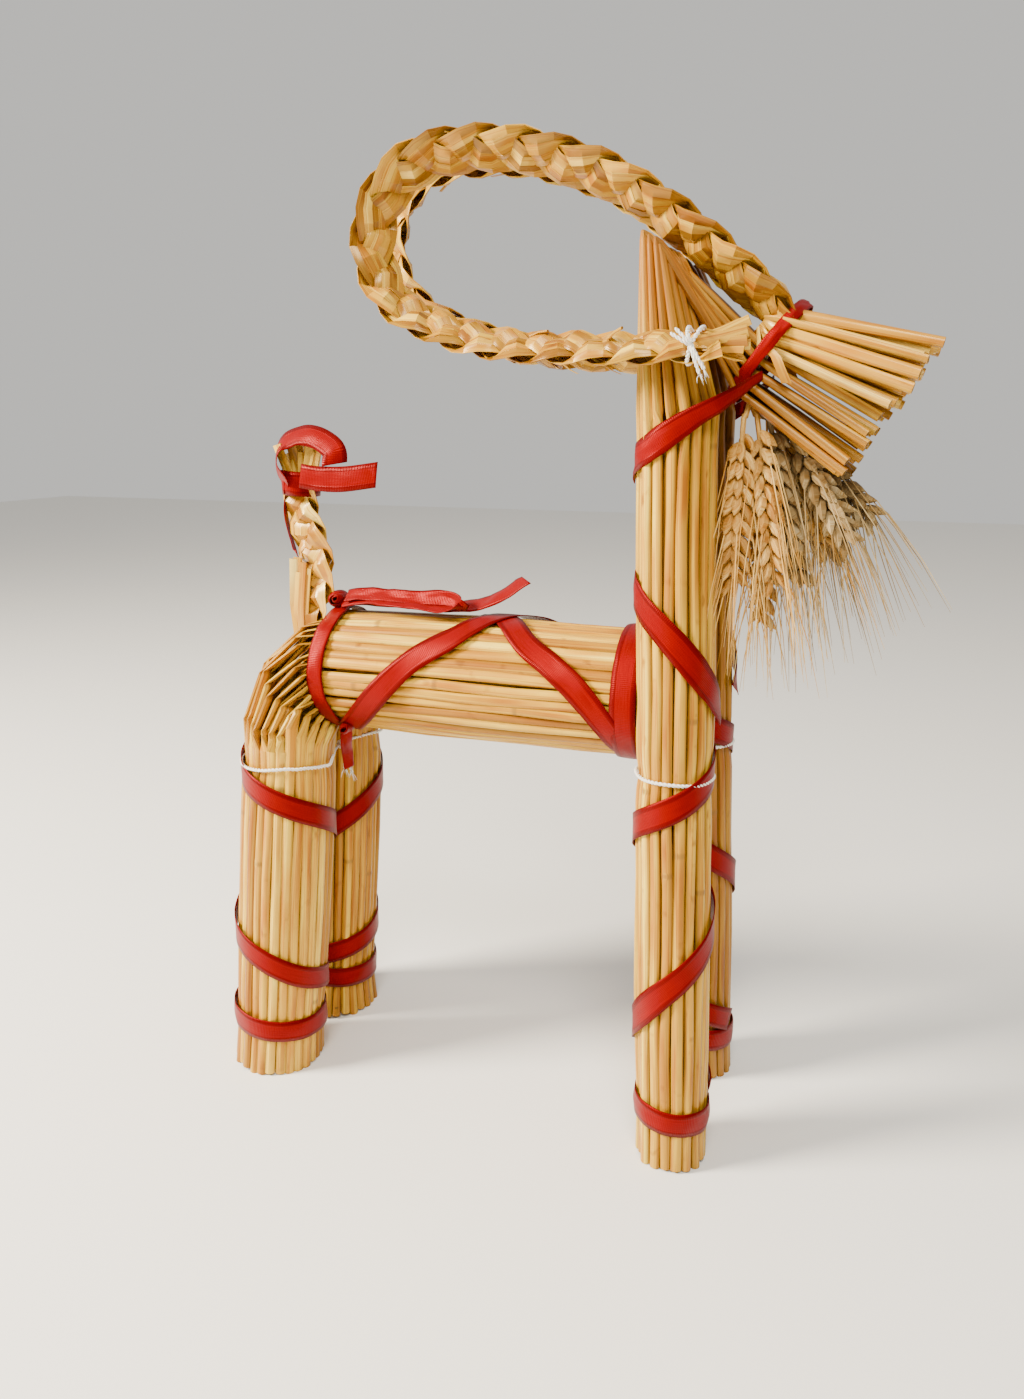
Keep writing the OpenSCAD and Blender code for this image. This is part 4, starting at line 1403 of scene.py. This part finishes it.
def knot(name, centre, size, nodes):
    """A pulled knot: the ribbon wound twice round itself, each turn crumpled."""
    samples = []
    for i in range(61):
        a = math.radians(760 * i / 60)
        out = Vector((math.cos(a), 0.25 * math.sin(a * 0.5), math.sin(a))).normalized()
        grow = size * (0.82 + 0.18 * i / 60)
        place = Vector(centre) + Vector((out.x * grow, 2.2 * math.sin(a * 0.47), out.z * grow))
        samples.append((place, out))
    return ribbon(name, samples, nodes, 8.0, 0.5, 0.9, crumple=0.25)


bow.append(knot("bow_knot_ribbon", middle_of("bow_knot"), 4.0, ["bow_knot"]))
bow.append(knot("bow_knot_heart", middle_of("bow_knot") + Vector((1.2, -1.5, 0.6)), 2.2, []))
RUMP_TIE = (-85, -17, 164)
bow.append(knot("rump_tie_ribbon", RUMP_TIE, 2.4, []))
TIE_ENDS = [(-85, -18, 163), (-87, -15, 156), (-90, -9, 149), (-91, -6, 141)]
bow.append(ribbon("rump_tie_end_ribbon", facing_samples(TIE_ENDS, 8, (0.3, -1, 0.2), (0.9, -0.6, 0)), [],
                  5.5, ripple=0.6, crumple=0.15))

# %% [markdown]
# ## Cotton string
# The string is two soft plies twisted together. Modelled as two tubes winding round each other, it
# catches the light in the slanting beads of real twine. The ends open out into a few loose fibres.

# %% String material and helper
def cotton_material():
    material, tree, shader = new_material("cotton_string")
    uv = add(tree, "ShaderNodeUVMap", uv_map="UVMap").outputs["UV"]
    lanes = add(tree, "ShaderNodeMapping", {"Vector": uv, "Scale": (9, 1.2, 1)})
    fibre = add(tree, "ShaderNodeTexNoise", {"Vector": lanes.outputs[0], "Scale": 1.0, "Detail": 3})
    base = ramp(tree, fibre.outputs["Fac"], [(0.3, "#cdc7bb"), (0.7, "#f7f4ec")])
    bump = add(tree, "ShaderNodeBump", {"Height": fibre.outputs["Fac"], "Strength": 0.6, "Distance": 0.0002})
    tree.links.new(base, shader.inputs["Base Color"])
    tree.links.new(bump.outputs["Normal"], shader.inputs["Normal"])
    shader.inputs["Roughness"].default_value = 0.85
    shader.inputs["Sheen Weight"].default_value = 0.4
    shader.inputs["Subsurface Weight"].default_value = 0.15
    shader.inputs["Subsurface Scale"].default_value = 0.0006
    return material


# White cotton thread, two plies, 1.6 mm across.
cotton = cotton_material()
PLY_PITCH = 3.4


def twine(bm, points, rng, thick=0.42, frayed=(False, False)):
    """Two twisted plies along a smooth line, with loose fibres at a frayed end."""
    line, length = even(points, max(8, round(length_of(points) / 0.55)))
    print(f"  a string run is {length:.0f} mm long")
    reference = Vector((0.13, 0.29, 0.95)).normalized()
    for ply in (0, 1):
        stations = []
        for i, p in enumerate(line):
            heading = (line[min(i + 1, len(line) - 1)] - line[max(i - 1, 0)]).normalized()
            wide = (reference - heading * reference.dot(heading)).normalized()
            deep = heading.cross(wide)
            a = 2 * math.pi * (length * i / (len(line) - 1) / PLY_PITCH + ply / 2)
            stations.append(Station(p + (wide * math.cos(a) + deep * math.sin(a)) * thick * 0.86,
                                    thick * rng.uniform(0.95, 1.05)))
        lay(bm, stations, 6, rng.random(), side_axis=reference)
    for end, inner, wanted in ((line[0], line[2], frayed[0]), (line[-1], line[-3], frayed[1])):
        if wanted:
            away = (end - inner).normalized()
            for _ in range(7):
                spread = Vector((rng.uniform(-1, 1), rng.uniform(-1, 1), rng.uniform(-1, 1))) * 0.5
                tip = end + (away + spread) * rng.uniform(2.0, 4.2)
                bend = lerp(end, tip, 0.5) + spread * 0.8
                lay(bm, [Station(end, 0.16), Station(bend, 0.11), Station(tip, 0.05)], 4, rng.random(),
                    side_axis=reference)


def length_of(points):
    return sum((b - a).length for a, b in zip(points, points[1:]))


def ring_points(centre, radius, normal_axis, wobble, rng, turns=1.0):
    """Points round a ring that wavers a little to either side of its plane."""
    u = Vector((0, 1, 0)) if normal_axis != "y" else Vector((1, 0, 0))
    v = {"z": Vector((1, 0, 0)), "x": Vector((0, 0, 1)), "y": Vector((0, 0, 1))}[normal_axis]
    w = u.cross(v)
    seed = rng.uniform(0, 90)
    points = []
    for i in range(int(60 * turns) + 1):
        a = 2 * math.pi * i / 60
        shift = wobble * noise.noise(Vector((math.cos(a), math.sin(a), seed)))
        points.append(centre + (u * math.cos(a) + v * math.sin(a)) * radius + w * shift)
    return points


# %% [markdown]
# ## Strings on the legs, the horns and the muzzle
# One string rings each front leg under the body, a longer one ties both hind legs together and is
# knotted in the gap between them, and each horn's lower end is bound to the neck with a small bow.

# %% Tie the strings
def hind_ring(rng):
    axis, radius = leg_axis(hind_lines["left"])
    c = axis(HIND_STRING_Z)
    points = []
    for side in (1, -1):
        for k in range(19):
            a = math.radians(-90 + 10 * k)
            points.append(Vector((c.x - side * (radius + 0.2) * math.sin(a),
                                  side * (c.y + (radius + 0.2) * math.cos(a)),
                                  HIND_STRING_Z + 1.2 * math.sin(3 * a) * rng.uniform(0.4, 1))))
        # Between the legs the string is drawn in towards the knot.
        points.append(Vector((c.x - side * (radius - 7.5), 0, HIND_STRING_Z + (1 if side < 0 else 0))))
    return smooth(points + [points[0]], 3)


def strings():
    rng = random.Random(81)
    random.seed(82)
    pieces = []
    for side_name, side in SIDES.items():
        axis, radius = leg_axis(front_lines[side_name])
        bm = start_piece()
        twine(bm, ring_points(axis(FRONT_STRING_Z), radius - 0.1, "z", 1.0, rng), rng)
        pieces.append(finish_piece(bm, f"{side_name}_front_twine", cotton,
                                   [f"{side_name}_front_string"]))
        low, high = box_mm(f"{side_name}_horn_string")
        centre = (low + high) / 2
        bm = start_piece()
        for lean in (-2.4, 2.4):
            loop = ring_points(centre, 8.6, "x", 0.6, rng)
            # The horn is flat here, so the rings are pulled in to an oval that lies on it.
            loop = [centre + Vector(((p.x - centre.x) + (p.z - centre.z) * lean / 9,
                                     (p.y - centre.y) * 0.88, (p.z - centre.z) * 0.68)) for p in loop]
            twine(bm, loop, rng)
        face = centre + Vector((0, side * 8.4, -0.5))
        ends = [((-2.6, 1.5, 1.6), (-6.5, 1.5, 4)), ((-1.6, 1.5, 2.4), (-5, 1.5, 5.5)),
                ((1.2, 1.5, -3), (3.5, 1.5, -9)), ((2, 1.5, -2.4), (5, 1.5, -7.5))]
        for mid, tip in ends:
            path = smooth([face, face + Vector((mid[0], side * mid[1], mid[2])) * 0.8,
                           face + Vector((tip[0], side * tip[1] * 0.7, tip[2]))], 12)
            twine(bm, path, rng, 0.36, frayed=(False, tip[2] < 0))
        pieces.append(finish_piece(bm, f"{side_name}_horn_twine", cotton,
                                   [f"{side_name}_horn_string"]))
    bm = start_piece()
    twine(bm, hind_ring(rng), rng)
    low, high = box_mm("hind_string")
    front_gap = Vector((high.x - 8.5, -1, HIND_STRING_Z + 1))
    for tip in ((5, -6, -9), (7, -3, -12)):
        path = smooth([front_gap, front_gap + Vector((4, tip[1] * 0.6, -2)), front_gap + Vector(tip)], 10)
        twine(bm, path, rng, frayed=(False, True))
    twine(bm, ring_points(front_gap, 1.5, "y", 0.2, rng, 1.6), rng)
    print("hind string is knotted at", [round(c) for c in front_gap])
    pieces.append(finish_piece(bm, "hind_twine", cotton, ["hind_string"]))
    bm = start_piece()
    line = [p for p, _ in tie_samples(-1.0, -1.6, 1.0)]
    twine(bm, line, rng, 0.36)
    pieces.append(finish_piece(bm, "muzzle_twine", cotton, ["muzzle_string"]))
    return pieces


string_pieces = strings()

# %% [markdown]
# ## Bearded ears
# The beard is a handful of ears of wheat, hung head down. An ear is a thin stem with spikelets
# to its left and right in two ranks. A spikelet holds three plump florets in papery husks,
# and from each husk's tip grows an awn, a stiff bristle up to 70 mm long.

# %% Ear materials
# Ripe wheat husk: papery, matt, straw-coloured with darker veins.
husk = straw_material("wheat_husk", ["#b48c4c", "#cda65c", "#dfba6e", "#eccf88"], 0.48, "#d2ac68", 0.8, 0.0)
# The same husk, darker and greyer, for the ears on the shaded side of the bunch: painted shade.
shaded_husk = straw_material(
    "wheat_husk_painted_shade", ["#84704c", "#98845e", "#aa966e", "#b8a67e"], 0.6, "#b49c78", 0.8, 0.0)

# %% Build the ears
EARS = [((79, -16, 290), (79, -18, 232)), ((84, -12, 291), (94, -15, 231)), ((88, -6, 290), (102, -5, 234)),
        ((96, -5, 286), (120, -8, 248)), ((98, 3, 284), (127, 4, 257)), ((92, 0, 286), (111, 0, 245)),
        ((85, 5, 290), (88, 3, 214)), ((92, 9, 286), (112, 12, 240))]


def floret(bm, rng, base, heading, side_axis, long, fat, tone):
    """A plump pointed husk."""
    deep = heading.cross(side_axis).normalized()
    lean = (side_axis * rng.uniform(-0.1, 0.1) + deep * rng.uniform(-0.1, 0.1)) * long
    stations = [Station(base, fat * 0.35), Station(base + heading * long * 0.25 + lean * 0.1, fat * 0.9),
                Station(base + heading * long * 0.55 + lean * 0.3, fat),
                Station(base + heading * long * 0.82 + lean * 0.6, fat * 0.55),
                Station(base + heading * long + lean, fat * 0.12)]
    lay(bm, stations, 6, tone, side_axis=side_axis, spin=0.4)
    return base + heading * long + lean


def awn(bm, rng, base, heading, down, long):
    spread = Vector((rng.uniform(-1, 1), rng.uniform(-1, 1), rng.uniform(-1, 1))) * 0.06
    tip = base + (heading * 0.4 + down * 0.2 + Vector((0, 0, -0.5)) + spread).normalized() * long
    middle = lerp(base, tip, 0.5) + (heading - down) * long * 0.05
    lay(bm, [Station(base, 0.26), Station(middle, 0.19), Station(tip, 0.06)], 3, rng.uniform(0.5, 1),
        side_axis=Vector((0.3, 0.9, 0.2)).normalized())


def wheat_ear(number, base, tip):
    rng = random.Random(90 + number)
    random.seed(190 + number)
    base, tip = Vector(base), Vector(tip)
    down = (tip - base).normalized()
    turn = rng.uniform(-0.9, 0.9)
    rank = (Matrix.Rotation(turn, 3, down) @ (Y - down * Y.dot(down)).normalized().cross(down)).normalized()
    other = down.cross(rank)
    length = (tip - base).length
    bm = start_piece()
    root = Vector((80, base.y * 0.6, 300))
    stem = smooth([root, lerp(root, base, 0.6) + Vector((0, 0, 1)), base, base + down * length * 0.9], 4)
    lay(bm, [Station(p, 1.0 if i < 9 else 0.7) for i, p in enumerate(stem)], 6, 0.6)
    count = round(length / 3.3)
    for k in range(count):
        t = (k + 0.3) / count
        side = 1 if k % 2 else -1
        fat = 2.05 * (0.62 + 0.5 * math.sin(math.pi * min(1, 0.16 + 0.86 * t))) * rng.uniform(0.9, 1.1)
        long = 9.6 * (0.8 + 0.25 * math.sin(math.pi * t)) * rng.uniform(0.92, 1.08)
        node_place = base + down * length * 0.93 * t + rank * side * 0.8
        tone = rng.random()
        for spread, out, size in ((-0.42, 0.34, 0.92), (0.42, 0.34, 0.92), (0.0, 0.62, 1.0)):
            heading = (down + rank * side * out * rng.uniform(0.85, 1.15) + other * spread).normalized()
            end = floret(bm, rng, node_place + other * spread * 2.2, heading, other, long * size, fat * size,
                         min(1, max(0, tone + rng.uniform(-0.15, 0.15))))
            if rng.random() < 0.72:
                reach = rng.uniform(28, 62) * (1.1 - 0.4 * t)
                awn(bm, rng, end, heading, down, reach)
    # Ears 3, 4, 5 and 8 get the husk with painted shade.
    material = shaded_husk if number in (3, 4, 5, 8) else husk
    return finish_piece(bm, f"bearded_ear_{number}", material, [f"wheat_ear_{number}"], 50)


ears = [wheat_ear(i + 1, base, tip) for i, (base, tip) in enumerate(EARS)]

# %% [markdown]
# ## Floor and light
# A pale floor, one big soft window from the upper left and a weaker light above and in front. The
# window rolls off along each stalk and leaves the gaps between them dark.

# %% Floor
floor_mesh = bpy.data.meshes.new("floor")
floor_bm = bmesh.new()
bmesh.ops.create_grid(floor_bm, x_segments=1, y_segments=1, size=3)
floor_bm.to_mesh(floor_mesh)
floor_bm.free()
floor = bpy.data.objects.new("floor", floor_mesh)
bpy.context.scene.collection.objects.link(floor)
floor_material, floor_tree, floor_shader = new_material("pale_floor")
floor_shader.inputs["Base Color"].default_value = linear("#e9e6e0")
floor_shader.inputs["Roughness"].default_value = 0.7
floor_mesh.materials.append(floor_material)


# %% Lights
def softbox(name, place, aim, size, power, code):
    """A round soft light, size metres across, that points from place to aim."""
    data = bpy.data.lights.new(name, "AREA")
    data.shape, data.size, data.energy = "DISK", size, power
    data.color = linear(code)[:3]
    light = bpy.data.objects.new(name, data)
    light.location = place
    light.rotation_euler = (Vector(aim) - Vector(place)).to_track_quat("-Z", "Y").to_euler()
    bpy.context.scene.collection.objects.link(light)


softbox("window", (-1.02, -0.62, 0.85), (0, 0, 0.2), 0.42, 74, "#fff4e0")
softbox("ceiling", (0.25, -0.75, 1.15), (0, 0, 0.25), 0.5, 18, "#fffaf0")

# %% Room light
ROOM_STRENGTH = 0.75
world = bpy.data.worlds.new("room")
bpy.context.scene.world = world
world.use_nodes = True
world.node_tree.nodes["Background"].inputs[0].default_value = linear("#f3f1ec")
world.node_tree.nodes["Background"].inputs[1].default_value = ROOM_STRENGTH
